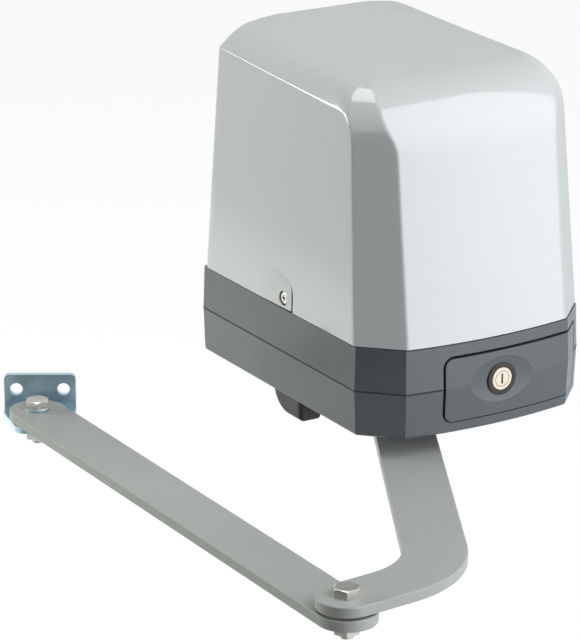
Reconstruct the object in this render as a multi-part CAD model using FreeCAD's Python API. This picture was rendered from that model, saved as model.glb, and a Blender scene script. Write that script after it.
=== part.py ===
import FreeCAD, Part
import math
import os
from FreeCAD import Placement, Rotation, Vector

# Swing gate operator with an articulated arm, in millimetres.
# X runs to the right seen from the front, Y to the rear, Z up. The origin is on the flat rear face,
# mid-width, at the line where the two halves of the base meet.

# Body: base halves and hood
BODY_WIDTH = 200.0
BODY_DEPTH = 254.0
FRONT_RADIUS = 400.0
CHAMFER = 27.5
REAR_CORNER = 4.0
LOWER_HEIGHT = 35.5
UPPER_HEIGHT = 33.5
LOWER_DRAFT = 1.45
UPPER_DRAFT = 1.15
BASE_WALL = 3.5
BASE_FLOOR = 4.0
BASE_EDGE = 2.5
SHAFT_Y = -BODY_DEPTH / 2
LIP_CLEAR = 0.4
LIP_WIDTH = 2.0
LIP_HEIGHT = 4.5
SHELF_THICKNESS = 4.0

# Hood
HOOD_WALL = 3.0
HOOD_SIDE_SETBACK = 0.7
HOOD_HALF_WIDTH = BODY_WIDTH / 2 - HOOD_SIDE_SETBACK
SIDE_TAPER = 0.034
HOOD_REAR_SETBACK = 3.7
REAR_LEAN = 0.061
HOOD_REAR_CORNER = 6.0
FRONT_SWELL = 5.0
FRONT_CENTRE_Y = -BODY_DEPTH - FRONT_SWELL
FRONT_LEAN = 0.118
NOSE_RADIUS = 46.0
NOSE_CLEAR = 1.2
RIDGE_HEIGHT = 174.7
ROOF_RISE = 18.5
ROOF_SLOPE = 0.049
RIDGE_OVERHANG = 2.0
SHOULDER_BULGE = 5.0
CREASE_HALF_REAR = 41.0
CREASE_SPREAD = 0.174
CREASE_REAR_Y = -17.0
CORNER_SETBACK = 2.07
CORNER_LEAN = 0.088
CORNER_BEFORE = 29.4
CORNER_BEYOND = 11.7
CORNER_ROLL_SIDE = 40.5
CORNER_ROLL_FRONT = 28.2
CORNER_ROLL_END = 10.0
HOOD_SCREW_AHEAD = 9.0
HOOD_SCREW_RISE = 8.0
HOOD_SCREW_RADIUS = 2.5
HOOD_SCREW_HEAD = 5.0
HOOD_SCREW_HEAD_HEIGHT = 3.0
SCREW_POCKET_RADIUS = 12.0
SCREW_POCKET_DEPTH = 4.5
SCREW_BOSS_LENGTH = 12.0

# Pillar fixing
FIXING_SPACING_X = 130.0
FIXING_SPACING_Z = 36.0
FIXING_HOLE_RADIUS = 4.5
FIXING_PAD_RADIUS = 12.0
FIXING_PAD = 8.0

# Base screws and gasket
BASE_SCREW_INSET = 8.5
BASE_SCREW_X = BODY_WIDTH / 2 - BASE_SCREW_INSET
BASE_SCREW_REAR_Y = -11.0
BASE_SCREW_FRONT_INSET = 50.0
BASE_SCREW_FRONT_Y = BASE_SCREW_FRONT_INSET - BODY_DEPTH
BASE_SCREW_RADIUS = 2.5
BASE_SCREW_HEAD_RADIUS = 4.25
BASE_SCREW_HEAD_HEIGHT = 5.0
BASE_BOSS_RADIUS = 5.8
BASE_BOSS_RISE = 10.0
GASKET_INSET = 1.2
GASKET_WIDTH = 1.1
GASKET_DEPTH = 1.2

# Release door, lock and release
DOOR_LEFT = -40.4
DOOR_BOTTOM = -26.6
DOOR_TOP = 22.5
DOOR_CORNER = 6.5
DOOR_THICKNESS = 3.0
DOOR_GAP_WIDE = 2.2
DOOR_GAP_THIN = 0.8
HINGE_FACET_INSET = 12.0
HINGE_FACET_X = BODY_WIDTH / 2 - HINGE_FACET_INSET
HINGE_DEPTH = 4.4
DOOR_END = 3.0
DOOR_END_GAP = 2.0
HINGE_RELIEF_CLEAR = 0.6
HINGE_EAR_RADIUS = 3.0
HINGE_EAR_HEIGHT = 6.0
HINGE_PIN_RADIUS = 1.5
HINGE_PIN_BITE = 2.0
POCKET_MARGIN = 4.0
POCKET_LEFT = DOOR_LEFT - POCKET_MARGIN
POCKET_DEPTH = 42.0
POCKET_REAR = POCKET_DEPTH - BODY_DEPTH
POCKET_WALL = 3.0
POCKET_CEILING = 3.0
LOCK_X = 8.5
LOCK_SEAT_DEPTH = 2.0
LOCK_DISH_WIDE = 443.0
LOCK_DISH_TALL = 122.0
LOCK_PAD_RADIUS = 18.0
LOCK_PAD_DEPTH = 5.0
LOCK_RING_RADIUS = 12.75
LOCK_RING_HEIGHT = 1.6
LOCK_BODY_RADIUS = 11.0
LOCK_BODY_DEPTH = 6.0
LOCK_CYLINDER_RADIUS = 9.0
LOCK_CYLINDER_PROUD = 0.9
LOCK_STEM_RADIUS = 4.0
KEY_SLOT_WIDTH = 1.6
KEY_SLOT_HEIGHT = 8.0
KEY_SLOT_DEPTH = 4.0
LOCK_CAM_LENGTH = 29.0
LOCK_CAM_WIDTH = 9.0
LOCK_CAM_THICKNESS = 2.4
KNOB_INSET = 52.0
KNOB_X = BODY_WIDTH / 2 - KNOB_INSET
KNOB_Z = -12.0
KNOB_RADIUS = 16.0
KNOB_HUB_RADIUS = 9.0
KNOB_WING = 7.0
KNOB_HUB_LENGTH = 8.0
KNOB_WING_LENGTH = 14.0
KNOB_STANDOFF = 2.0
SPINDLE_RADIUS = 4.5
RELEASE_CAM_RADIUS = 6.5
RELEASE_CAM_WIDTH = 4.0
RELEASE_CAM_CLEAR = 2.0

# Gear train
MODULE = 2.0
PRESSURE_ANGLE = 20.0
PINION_TEETH = 15
WHEEL_TEETH = 30
ADDENDUM = 0.8
DEDENDUM = 1.15
BACKLASH = 0.3
GEAR_WIDTH = 12.0
WORM_PITCH_RADIUS = 10.0
WORM_BACKLASH = 0.5
WORM_LENGTH = 30.0
WORM_Z = 28.5
WHEEL_WIDTH = 11.0
WHEEL_HUB_RADIUS = 13.0
GEAR_HUB_RADIUS = 24.0
OUTPUT_SHAFT_RADIUS = 15.0
PINION_SHAFT_RADIUS = 8.0
WORM_SHAFT_RADIUS = 6.0
RUNNING_FIT = 0.05
SIDE_PLAY = 0.3
BUSH_WALL = 4.0
SEAL_WALL = 7.0
SEAL_HEIGHT = 6.0
SHAFT_BOSS_RADIUS = 30.0
SHAFT_BOSS_HEIGHT = 12.0
SHAFT_BOSS_EDGE = 2.0
CASE_WALL = 4.0
CASE_LEFT_INSET = 9.0
CASE_RIGHT_INSET = 30.0
CASE_FRONT_INSET = 57.0
CASE_LEFT = CASE_LEFT_INSET - BODY_WIDTH / 2
CASE_RIGHT = BODY_WIDTH / 2 - CASE_RIGHT_INSET
CASE_FRONT = CASE_FRONT_INSET - BODY_DEPTH
CASE_REAR = -19.5
CASE_CORNER = 10.0
CASE_TOP = -5.0
LID_THICKNESS = 5.0
LID_BOSS = 3.5
GEAR_BOTTOM = -25.0
WORM_HOUSING_RIGHT = -2.0
WHEEL_CLEAR = 3.2
GEAR_CLEAR = 4.4
WORM_HOUSING_TOP = 46.0
WORM_HOUSING_WALL = 3.0
WORM_BEARING_WALL = 5.0
WORM_BEARING_LENGTH = 7.0
MOTOR_RADIUS = 27.0
MOTOR_WALL = 4.0
MOTOR_END_INSET = 20.0
MOTOR_LENGTH = BODY_WIDTH / 2 - MOTOR_END_INSET
MOTOR_REAR_CLEAR = 9.8
MOTOR_CAP_LENGTH = 10.0
ROTOR_RADIUS = 18.0
ROTOR_LENGTH = 54.0
ROTOR_START = 14.0
SCREW_RADIUS = 2.5
SCREW_HEAD_RADIUS = 4.25
SCREW_HEAD_HEIGHT = 4.0
LID_SCREW_INSET = 7.0
LID_SCREW_LENGTH = 16.0
LID_SCREW_SINK = 2.5

# Arm
CRANK_THICKNESS = 8.0
CRANK_TOP = -51.5
CRANK_ANGLE = 27.6
CRANK_LEG = 346.0
CRANK_TIP_ANGLE = 85.8
CRANK_TIP = 79.0
CRANK_LEG_WIDTH = 46.0
CRANK_TIP_WIDTH = 43.0
CRANK_INNER_RADIUS = 50.0
CRANK_OUTER_RADIUS = 92.0
CRANK_SPLINE_RADIUS = 11.0
CRANK_WASHER_RADIUS = 20.0
CRANK_WASHER_THICKNESS = 3.0
CRANK_BOLT_RADIUS = 6.0
CRANK_BOLT_LENGTH = 30.0
CRANK_BOLT_ACROSS = 19.0
CRANK_BOLT_HEAD = 6.5
FOREARM_LENGTH = 448.0
FOREARM_ANGLE = 90.4
FOREARM_WIDTH = 43.0
FOREARM_THICKNESS = 8.0
BAR_EDGE = 0.8
ARM_BOLT_RADIUS = 5.0
ARM_BOLT_ACROSS = 17.0
ARM_BOLT_HEAD = 6.5
ARM_NUT_HEIGHT = 8.4
ARM_BOLT_SPARE = 3.5
ARM_WASHER_RADIUS = 10.0
ELBOW_WASHER_THICKNESS = 2.0
GATE_WASHER_THICKNESS = 1.6
ARM_PLAY = 0.15

# Gate bracket
BRACKET_TURN = -31.0
BRACKET_WIDTH = 56.0
BRACKET_TOP = -44.4
BRACKET_THICKNESS = 5.0
BRACKET_REACH = 30.0
BRACKET_NOSE_WIDTH = 30.0
BRACKET_NOSE = 16.0
BRACKET_HOLE_SPACING = 37.0
BRACKET_HOLE_RADIUS = 5.0
BRACKET_HOLE_DROP = 12.0
BRACKET_CORNER = 4.0
BRACKET_BEND = 5.0

# Travel stops
STOP_INSET = 34.0
STOP_INNER = BODY_WIDTH / 2 - STOP_INSET
STOP_WIDTH = 20.0
STOP_LENGTH = 42.0
STOP_HEIGHT = 24.0
STOP_ROUND = 22.0
STOP_EDGE = 4.0
STOP_FRONT_EDGE = 1.0
STOP_BOLT_SETBACK = 10.0
STOP_BOLT_PITCH = 18.0
STOP_BOLT_RADIUS = 3.0
STOP_BOLT_HEAD_RADIUS = 5.0
STOP_BOLT_HEAD_HEIGHT = 6.0
STOP_NUT_ACROSS = 10.0

# Equipment inside the hood
PLATE_LEFT_MARGIN = 11.0
PLATE_RIGHT_MARGIN = 4.0
PLATE_SETBACK = 25.0
PLATE_LEFT = CASE_LEFT + PLATE_LEFT_MARGIN
PLATE_RIGHT = CASE_RIGHT - PLATE_RIGHT_MARGIN
PLATE_FRONT = CASE_FRONT + PLATE_SETBACK
PLATE_THICKNESS = 2.0
PLATE_HEIGHT = 150.0
PLATE_FOOT = 16.0
BOARD_MARGIN = 10.0
BOARD_BOTTOM = 38.0
BOARD_THICKNESS = 1.6
POST_LENGTH = 8.0
POST_RADIUS = 3.5
POST_INSET = 7.0
TERMINAL_PITCH = 10.0
TERMINAL_WIDTH = 9.0
TERMINAL_DEPTH = 14.0
TERMINAL_HEIGHT = 12.0
TERMINAL_SCREW_RADIUS = 2.0
TERMINAL_RISE = 3.0
RELAY_PITCH = 22.0
RELAY_WIDTH = 18.0
RELAY_DEPTH = 15.0
RELAY_HEIGHT = 28.0
RELAY_RISE = 45.0
CAPACITOR_RADIUS = 11.0
CAPACITOR_LENGTH = 30.0
CAPACITOR_RISE = 58.0
TRANSFORMER_WIDTH = 56.0
TRANSFORMER_DEPTH = 46.0
TRANSFORMER_HEIGHT = 48.0
TRANSFORMER_INSET = 61.0
TRANSFORMER_SETBACK = 24.0
TRANSFORMER_LEFT = CASE_RIGHT - TRANSFORMER_INSET
TRANSFORMER_FRONT = PLATE_FRONT + TRANSFORMER_SETBACK
COIL_OVERHANG = 8.0
BATTERY_LENGTH = 90.0
BATTERY_HEIGHT = 52.0
BATTERY_GAP = 2.0
GLAND_INSET = 17.5
GLAND_X = BODY_WIDTH / 2 - GLAND_INSET
GLAND_Y = -60.0
GLAND_RADIUS = 8.0
GLAND_ACROSS = 20.0
GLAND_LENGTH = 18.0
GLAND_BORE = 5.0
GLAND_NUT_HEIGHT = 5.0
GLAND_NUT_ACROSS = 20.0

# Worked-out heights and places
FLOOR_TOP = BASE_FLOOR - LOWER_HEIGHT
HOOD_BASE = UPPER_HEIGHT
RIDGE_Z = HOOD_BASE + RIDGE_HEIGHT
CASE_FLOOR_TOP = FLOOR_TOP + CASE_WALL
LID_TOP = CASE_TOP + LID_THICKNESS
GEAR_ROOM = min(SHAFT_Y - CASE_FRONT, CASE_RIGHT) - CASE_WALL - GEAR_CLEAR - ADDENDUM * MODULE
OUTPUT_TEETH = round(2 * GEAR_ROOM / MODULE)
PITCH_OUTPUT = MODULE * OUTPUT_TEETH / 2
PITCH_PINION = MODULE * PINION_TEETH / 2
PITCH_WHEEL = MODULE * WHEEL_TEETH / 2
PINION_CENTRE = PITCH_OUTPUT + PITCH_PINION
WORM_Y = -MOTOR_REAR_CLEAR - MOTOR_RADIUS
PINION_Y = WORM_Y - WORM_PITCH_RADIUS - PITCH_WHEEL
PINION_ANGLE = math.degrees(math.acos((PINION_Y - SHAFT_Y) / PINION_CENTRE))
PINION_X = -PINION_CENTRE * math.sin(math.radians(PINION_ANGLE))
WORM_HOUSING_FRONT = PINION_Y - PITCH_WHEEL - WHEEL_CLEAR - WORM_HOUSING_WALL
HOOD_SCREW_Y = WORM_HOUSING_FRONT - HOOD_SCREW_AHEAD
BATTERY_WIDTH = (WORM_HOUSING_RIGHT - CASE_LEFT - 3 * BATTERY_GAP) / 2
CRANK_BOTTOM = CRANK_TOP - CRANK_THICKNESS
FOREARM_TOP = CRANK_BOTTOM - ELBOW_WASHER_THICKNESS - ARM_PLAY
FOREARM_BOTTOM = FOREARM_TOP - FOREARM_THICKNESS
SHAFT = Vector(0, SHAFT_Y, 0)
LEG_WAY = Vector(-math.sin(math.radians(CRANK_ANGLE)), -math.cos(math.radians(CRANK_ANGLE)), 0)
TIP_WAY = Vector(-math.sin(math.radians(CRANK_TIP_ANGLE)), -math.cos(math.radians(CRANK_TIP_ANGLE)), 0)
CRANK_KNEE = SHAFT + LEG_WAY * CRANK_LEG
ELBOW = CRANK_KNEE + TIP_WAY * CRANK_TIP
FOREARM_WAY = Vector(math.cos(math.radians(FOREARM_ANGLE)), math.sin(math.radians(FOREARM_ANGLE)), 0)
GATE = ELBOW + FOREARM_WAY * FOREARM_LENGTH
UP = Vector(0, 0, 1)
HALF_ROOT = math.sqrt(0.5)
CHAMFER_REACH = (BODY_WIDTH / 2 - CHAMFER + BODY_DEPTH) * HALF_ROOT
CORNER_REACH = CHAMFER_REACH - CORNER_SETBACK
CORNER_START = (BODY_DEPTH - CHAMFER - BODY_WIDTH / 2) * HALF_ROOT - CORNER_BEFORE
CORNER_FINISH = (BODY_DEPTH + CHAMFER - BODY_WIDTH / 2) * HALF_ROOT + CORNER_BEYOND


# Shared shapes
def cylinder(radius, length, start, way=UP):
    return Part.makeCylinder(radius, length, start, way)


def tube(outer, inner, length, start, way=UP):
    return cylinder(outer, length, start, way).cut(cylinder(inner, length, start, way))


def block(x0, x1, y0, y1, z0, z1):
    return Part.makeBox(x1 - x0, y1 - y0, z1 - z0, Vector(x0, y0, z0))


def hexagon(across, height, start):
    """Hexagonal prism standing up from its start point, two flats facing front and rear."""
    reach = across / math.sqrt(3)
    corners = [start + Vector(math.cos(k * math.pi / 3), math.sin(k * math.pi / 3), 0) * reach for k in range(7)]
    return Part.Face(Part.makePolygon(corners)).extrude(UP * height)


def corner_arc(before, corner, after, radius):
    """Start, middle and end of the arc that rounds a corner between two straight runs."""
    into = (before - corner).normalize()
    out = (after - corner).normalize()
    half = into.getAngle(out) / 2
    setback = radius / math.tan(half)
    bisector = (into + out).normalize()
    centre = corner + bisector * (radius / math.sin(half))
    return corner + into * setback, centre - bisector * radius, corner + out * setback


def rounded_wire(corners, radii):
    """Closed wire through the corners, each rounded by its own radius, sharp where that is 0."""
    count = len(corners)
    ends = []
    edges = []
    for k in range(count):
        if radii[k] > 0:
            start, middle, end = corner_arc(corners[k - 1], corners[k], corners[(k + 1) % count], radii[k])
            edges.append(Part.Arc(start, middle, end).toShape())
            ends.append((start, end))
        else:
            ends.append((corners[k], corners[k]))
    for k in range(count):
        leave = ends[k][1]
        arrive = ends[(k + 1) % count][0]
        if leave.distanceToPoint(arrive) > 1e-6:
            edges.append(Part.LineSegment(leave, arrive).toShape())
    return Part.Wire(Part.__sortEdges__(edges))


def rounded_plate(corners, radii, thickness, way=UP):
    return Part.Face(rounded_wire(corners, radii)).extrude(way * thickness)


def rounded_block(x0, x1, y0, y1, z0, z1, radius):
    corners = [Vector(x0, y0, z0), Vector(x1, y0, z0), Vector(x1, y1, z0), Vector(x0, y1, z0)]
    return rounded_plate(corners, [radius] * 4, z1 - z0)


def eased(solid, radius, z_levels):
    """Rounds the edges that lie in the given level planes."""
    edges = []
    for edge in solid.Edges:
        box = edge.BoundBox
        for z in z_levels:
            if abs(box.ZMin - z) < 1e-4 and abs(box.ZMax - z) < 1e-4:
                edges.append(edge)
    return solid.makeFillet(radius, edges)


def one(solids):
    """Several touching solids joined into one piece with no inner faces left."""
    joined = solids[0].multiFuse(solids[1:])
    return joined.removeSplitter()


def side_by_side(point):
    """The two mirrored places of a point, left then right."""
    return [Vector(-point.x, point.y, point.z), point]


# Base outline
def draft_at(z):
    if z < 0:
        return LOWER_DRAFT * -z / LOWER_HEIGHT
    return UPPER_DRAFT * z / UPPER_HEIGHT


def body_outline(z, inset, rear):
    """Plan of the base at one height: flat rear, straight sides, chamfers and a bowed front."""
    half = BODY_WIDTH / 2 - inset
    front = inset - BODY_DEPTH
    chamfer = CHAMFER - inset * (2 - math.sqrt(2))
    radius = FRONT_RADIUS - inset
    bow = radius - math.sqrt(radius ** 2 - (half - chamfer) ** 2)
    corner = max(REAR_CORNER - rear, 1.0)
    left_rear = corner_arc(Vector(-half, front, z), Vector(-half, -rear, z), Vector(half, -rear, z), corner)
    right_rear = corner_arc(Vector(-half, -rear, z), Vector(half, -rear, z), Vector(half, front, z), corner)
    right_side = Vector(half, front + chamfer, z)
    right_front = Vector(half - chamfer, front, z)
    left_front = Vector(chamfer - half, front, z)
    left_side = Vector(-half, front + chamfer, z)
    edges = [
        Part.Arc(*left_rear).toShape(),
        Part.LineSegment(left_rear[2], right_rear[0]).toShape(),
        Part.Arc(*right_rear).toShape(),
        Part.LineSegment(right_rear[2], right_side).toShape(),
        Part.LineSegment(right_side, right_front).toShape(),
        Part.Arc(right_front, Vector(0, front - bow, z), left_front).toShape(),
        Part.LineSegment(left_front, left_side).toShape(),
        Part.LineSegment(left_side, left_rear[0]).toShape(),
    ]
    return Part.Wire(edges)


def body_block(z0, z1, inset=0.0, rear=0.0):
    """Solid between two heights of one base half, drawn in by the inset all round."""
    low = body_outline(z0, draft_at(z0) + inset, rear)
    high = body_outline(z1, draft_at(z1) + inset, rear)
    return Part.makeLoft([low, high], True, True)


LOWER_SOLID = eased(body_block(-LOWER_HEIGHT, 0), BASE_EDGE, (-LOWER_HEIGHT,))
UPPER_SOLID = body_block(0, UPPER_HEIGHT)
BODY_SOLID = LOWER_SOLID.fuse(UPPER_SOLID)
DOOR_SKIN = BODY_SOLID.cut(
    body_block(-LOWER_HEIGHT, 0, DOOR_THICKNESS, DOOR_THICKNESS).fuse(
        body_block(0, UPPER_HEIGHT, DOOR_THICKNESS, DOOR_THICKNESS)))

# Front bow at the parting line
FRONT_HALF = BODY_WIDTH / 2 - CHAMFER
BOW_CENTRE_Y = math.sqrt(FRONT_RADIUS ** 2 - FRONT_HALF ** 2) - BODY_DEPTH

# Door hinge axis, under the right chamfer facet
FACET_OUT = Vector(HALF_ROOT, -HALF_ROOT, 0)
HINGE_FACET = Vector(HINGE_FACET_X, HINGE_FACET_X - FRONT_HALF - BODY_DEPTH, 0)
HINGE = HINGE_FACET - FACET_OUT * HINGE_DEPTH
HINGE_RELIEF = math.hypot(DOOR_END, HINGE_DEPTH) + HINGE_RELIEF_CLEAR

# Lock axis, square to the bowed front
LOCK_TURN = math.degrees(math.asin(LOCK_X / FRONT_RADIUS))
LOCK_FACE_Y = BOW_CENTRE_Y - math.sqrt(FRONT_RADIUS ** 2 - LOCK_X ** 2)
LOCK_PLACE = Placement(Vector(LOCK_X, LOCK_FACE_Y, 0), Rotation(UP, LOCK_TURN))
LOCK_IN = Vector(0, 1, 0)


def door_window(side_gap, top_gap, bottom_gap, end):
    """Prism through the front for the door or its opening, ended square to the chamfer facet."""
    far = BODY_WIDTH
    near = -BODY_DEPTH * 1.15
    x0 = DOOR_LEFT - side_gap
    z0 = DOOR_BOTTOM - bottom_gap
    z1 = DOOR_TOP + top_gap
    corners = [Vector(x0, near, z0), Vector(far, near, z0), Vector(far, near, z1), Vector(x0, near, z1)]
    round_left = DOOR_CORNER + side_gap
    prism = rounded_plate(corners, [round_left, 0, 0, round_left], BODY_DEPTH / 4, Vector(0, 1, 0))
    beyond = Part.makeBox(far, far * 2, far * 2, Vector(end, -far, -far))
    beyond.Placement = Placement(HINGE_FACET, Rotation(UP, 45))
    return prism.cut(beyond)


def ring_between(outer, inner, height):
    """Upright ring between two closed outlines."""
    return Part.Face(outer).extrude(UP * height).cut(Part.Face(inner).extrude(UP * height))


def save(name, shape):
    shape.exportStep(os.path.join("parts", name + ".step"))


# Base halves
def pocket_walls(z0, z1):
    """Two partitions that close off the release pocket behind the door."""
    far = BODY_WIDTH / 2
    rear_wall = block(POCKET_LEFT - POCKET_WALL, far, POCKET_REAR, POCKET_REAR + POCKET_WALL, z0, z1)
    left_wall = block(POCKET_LEFT - POCKET_WALL, POCKET_LEFT, -BODY_DEPTH * 1.1, POCKET_REAR, z0, z1)
    return [rear_wall, left_wall]


def base_screw_places():
    return [place for y in (BASE_SCREW_REAR_Y, BASE_SCREW_FRONT_Y)
            for place in side_by_side(Vector(BASE_SCREW_X, y, 0))]


def fixing_places(z):
    return side_by_side(Vector(FIXING_SPACING_X / 2, 0, z))


def door_opening():
    window = door_window(DOOR_GAP_WIDE, DOOR_GAP_WIDE, DOOR_GAP_THIN, DOOR_END + DOOR_END_GAP)
    height = DOOR_TOP + DOOR_GAP_WIDE - DOOR_BOTTOM + DOOR_GAP_THIN
    relief = cylinder(HINGE_RELIEF, height, HINGE + UP * (DOOR_BOTTOM - DOOR_GAP_THIN))
    return window.fuse(relief)


def gasket_ring():
    """Sealing cord in the rim of the lower half, left open across the door."""
    outer = body_outline(-GASKET_DEPTH, GASKET_INSET, GASKET_INSET)
    inner = body_outline(-GASKET_DEPTH, GASKET_INSET + GASKET_WIDTH, GASKET_INSET + GASKET_WIDTH)
    ring = ring_between(outer, inner, GASKET_DEPTH)
    span = block(POCKET_LEFT, BODY_WIDTH, -BODY_DEPTH * 1.1, POCKET_REAR, -LOWER_HEIGHT, UPPER_HEIGHT)
    return ring.cut(span)


def stop_bolt_places():
    places = []
    for k in range(2):
        y = SHAFT_Y + STOP_BOLT_SETBACK + STOP_BOLT_PITCH * k
        places += side_by_side(Vector(STOP_INNER + STOP_WIDTH / 2, y, 0))
    return places


def make_base_lower():
    cavity = body_block(FLOOR_TOP, 0, BASE_WALL, BASE_WALL)
    shell = LOWER_SOLID.cut(cavity)
    pads = [cylinder(FIXING_PAD_RADIUS, FIXING_PAD, place, Vector(0, -1, 0))
            for place in fixing_places(-FIXING_SPACING_Z / 2)]
    bosses = [cylinder(BASE_BOSS_RADIUS, LOWER_HEIGHT, place - UP * LOWER_HEIGHT) for place in base_screw_places()]
    solid = one([shell] + [piece.common(LOWER_SOLID) for piece in pads + bosses + pocket_walls(FLOOR_TOP - 1, 0)])
    cuts = [
        cylinder(OUTPUT_SHAFT_RADIUS + BUSH_WALL, LOWER_HEIGHT, SHAFT - UP * LOWER_HEIGHT),
        cylinder(GLAND_RADIUS, LOWER_HEIGHT, Vector(GLAND_X, GLAND_Y, -LOWER_HEIGHT)),
        cylinder(HINGE_PIN_RADIUS + RUNNING_FIT, LOWER_HEIGHT, HINGE + UP * (FLOOR_TOP - HINGE_PIN_BITE)),
        cylinder(SPINDLE_RADIUS + RUNNING_FIT, POCKET_WALL, Vector(KNOB_X, POCKET_REAR, KNOB_Z), Vector(0, 1, 0)),
        gasket_ring(),
        door_opening(),
    ]
    for place in fixing_places(-FIXING_SPACING_Z / 2):
        cuts.append(cylinder(FIXING_HOLE_RADIUS, FIXING_PAD, place, Vector(0, -1, 0)))
    for place in base_screw_places():
        cuts.append(cylinder(BASE_SCREW_RADIUS + SIDE_PLAY, LOWER_HEIGHT, place - UP * LOWER_HEIGHT))
        cuts.append(cylinder(BASE_SCREW_HEAD_RADIUS + SIDE_PLAY, BASE_SCREW_HEAD_HEIGHT + SIDE_PLAY,
                             place - UP * LOWER_HEIGHT))
    for place in stop_bolt_places():
        cuts.append(hexagon(STOP_NUT_ACROSS, BASE_FLOOR, place - UP * LOWER_HEIGHT))
    return solid.cut(cuts)


def make_shaft_flange():
    """Cast collar under the floor that carries the lower bush and the seal."""
    bottom = -LOWER_HEIGHT - SHAFT_BOSS_HEIGHT
    collar = cylinder(SHAFT_BOSS_RADIUS, SHAFT_BOSS_HEIGHT, SHAFT + UP * bottom)
    lower_rim = [edge for edge in collar.Edges if edge.BoundBox.ZMax < bottom + SIDE_PLAY]
    collar = collar.makeFillet(SHAFT_BOSS_EDGE, lower_rim)
    return collar.cut([cylinder(OUTPUT_SHAFT_RADIUS + BUSH_WALL, SHAFT_BOSS_HEIGHT, SHAFT + UP * bottom),
                       cylinder(OUTPUT_SHAFT_RADIUS + SEAL_WALL, SEAL_HEIGHT, SHAFT + UP * bottom)])


def hood_boss(place):
    """Block inside the rim that takes the hood's side screw."""
    sign = math.copysign(1, place.x)
    face = hood_half_at(HOOD_BASE + HOOD_SCREW_RISE) - SCREW_POCKET_DEPTH - HOOD_WALL - SIDE_PLAY
    x0, x1 = sorted((sign * face, sign * (face - SCREW_BOSS_LENGTH)))
    top = HOOD_BASE + HOOD_SCREW_RISE * 2
    half = HOOD_SCREW_HEAD + HOOD_WALL
    post = block(x0, x1, place.y - half, place.y + half, HOOD_BASE - BASE_FLOOR * 2, top)
    foot = block(*sorted((sign * face, sign * (BODY_WIDTH / 2 - UPPER_DRAFT - 1))), place.y - half, place.y + half,
                 HOOD_BASE - BASE_FLOOR * 2, HOOD_BASE)
    return [post, foot]


def make_base_upper():
    cavity = body_block(0, UPPER_HEIGHT, BASE_WALL, BASE_WALL)
    shell = UPPER_SOLID.cut(cavity)
    pads = [cylinder(FIXING_PAD_RADIUS, FIXING_PAD, place, Vector(0, -1, 0))
            for place in fixing_places(FIXING_SPACING_Z / 2)]
    bosses = [cylinder(BASE_BOSS_RADIUS, BASE_BOSS_RISE, place) for place in base_screw_places()]
    ceiling = block(POCKET_LEFT - POCKET_WALL, BODY_WIDTH / 2, -BODY_DEPTH * 1.1, POCKET_REAR + POCKET_WALL,
                    UPPER_HEIGHT - POCKET_CEILING, UPPER_HEIGHT)
    inner = [piece.common(UPPER_SOLID) for piece in pads + bosses + pocket_walls(0, UPPER_HEIGHT) + [ceiling]]
    shelf = body_block(HOOD_BASE - SHELF_THICKNESS, HOOD_BASE)
    reach = BODY_DEPTH * 2
    level = block(-reach, reach, -reach, reach, HOOD_BASE - SHELF_THICKNESS, HOOD_BASE + LIP_HEIGHT)
    lip_outer = hood_block(HOOD_WALL + LIP_CLEAR, HOOD_BASE - SHELF_THICKNESS).common(level)
    lip_inner = hood_block(HOOD_WALL + LIP_CLEAR + LIP_WIDTH, HOOD_BASE - SHELF_THICKNESS * 2)
    lip = one([shelf, lip_outer]).cut(lip_inner)
    clear = SCREW_POCKET_RADIUS + HOOD_WALL + 2
    gaps = block(-BODY_WIDTH, BODY_WIDTH, HOOD_SCREW_Y - clear, HOOD_SCREW_Y + clear, HOOD_BASE, HOOD_BASE * 2)
    lip = lip.cut(gaps)
    posts = []
    screws = side_by_side(Vector(1, HOOD_SCREW_Y, HOOD_BASE + HOOD_SCREW_RISE))
    for place in screws:
        posts += hood_boss(place)
    solid = one([shell, lip] + inner + posts)
    cuts = [
        cylinder(HINGE_PIN_RADIUS + RUNNING_FIT, UPPER_HEIGHT - POCKET_CEILING + HINGE_PIN_BITE, HINGE),
        door_opening(),
        cylinder(HOOD_SCREW_RADIUS, BODY_WIDTH, Vector(-BODY_WIDTH / 2, HOOD_SCREW_Y, HOOD_BASE + HOOD_SCREW_RISE),
                 Vector(1, 0, 0)),
    ]
    for place in fixing_places(FIXING_SPACING_Z / 2):
        cuts.append(cylinder(FIXING_HOLE_RADIUS, FIXING_PAD, place, Vector(0, -1, 0)))
    for place in base_screw_places():
        cuts.append(cylinder(BASE_SCREW_RADIUS, BASE_BOSS_RISE, place))
    return solid.cut(cuts)


def make_base_screws():
    length = LOWER_HEIGHT - BASE_SCREW_HEAD_HEIGHT + BASE_BOSS_RISE - 1
    screws = []
    for place in base_screw_places():
        seat = place - UP * (LOWER_HEIGHT - BASE_SCREW_HEAD_HEIGHT - SIDE_PLAY)
        head = cylinder(BASE_SCREW_HEAD_RADIUS, BASE_SCREW_HEAD_HEIGHT, seat - UP * BASE_SCREW_HEAD_HEIGHT)
        socket = hexagon(BASE_SCREW_RADIUS * 1.6, BASE_SCREW_RADIUS, seat - UP * BASE_SCREW_HEAD_HEIGHT)
        screws.append(head.cut(socket).fuse(cylinder(BASE_SCREW_RADIUS, length, seat)).removeSplitter())
    return Part.Compound(screws)


# Hood
def hood_half_at(z):
    return HOOD_HALF_WIDTH - SIDE_TAPER * (z - HOOD_BASE)


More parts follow.
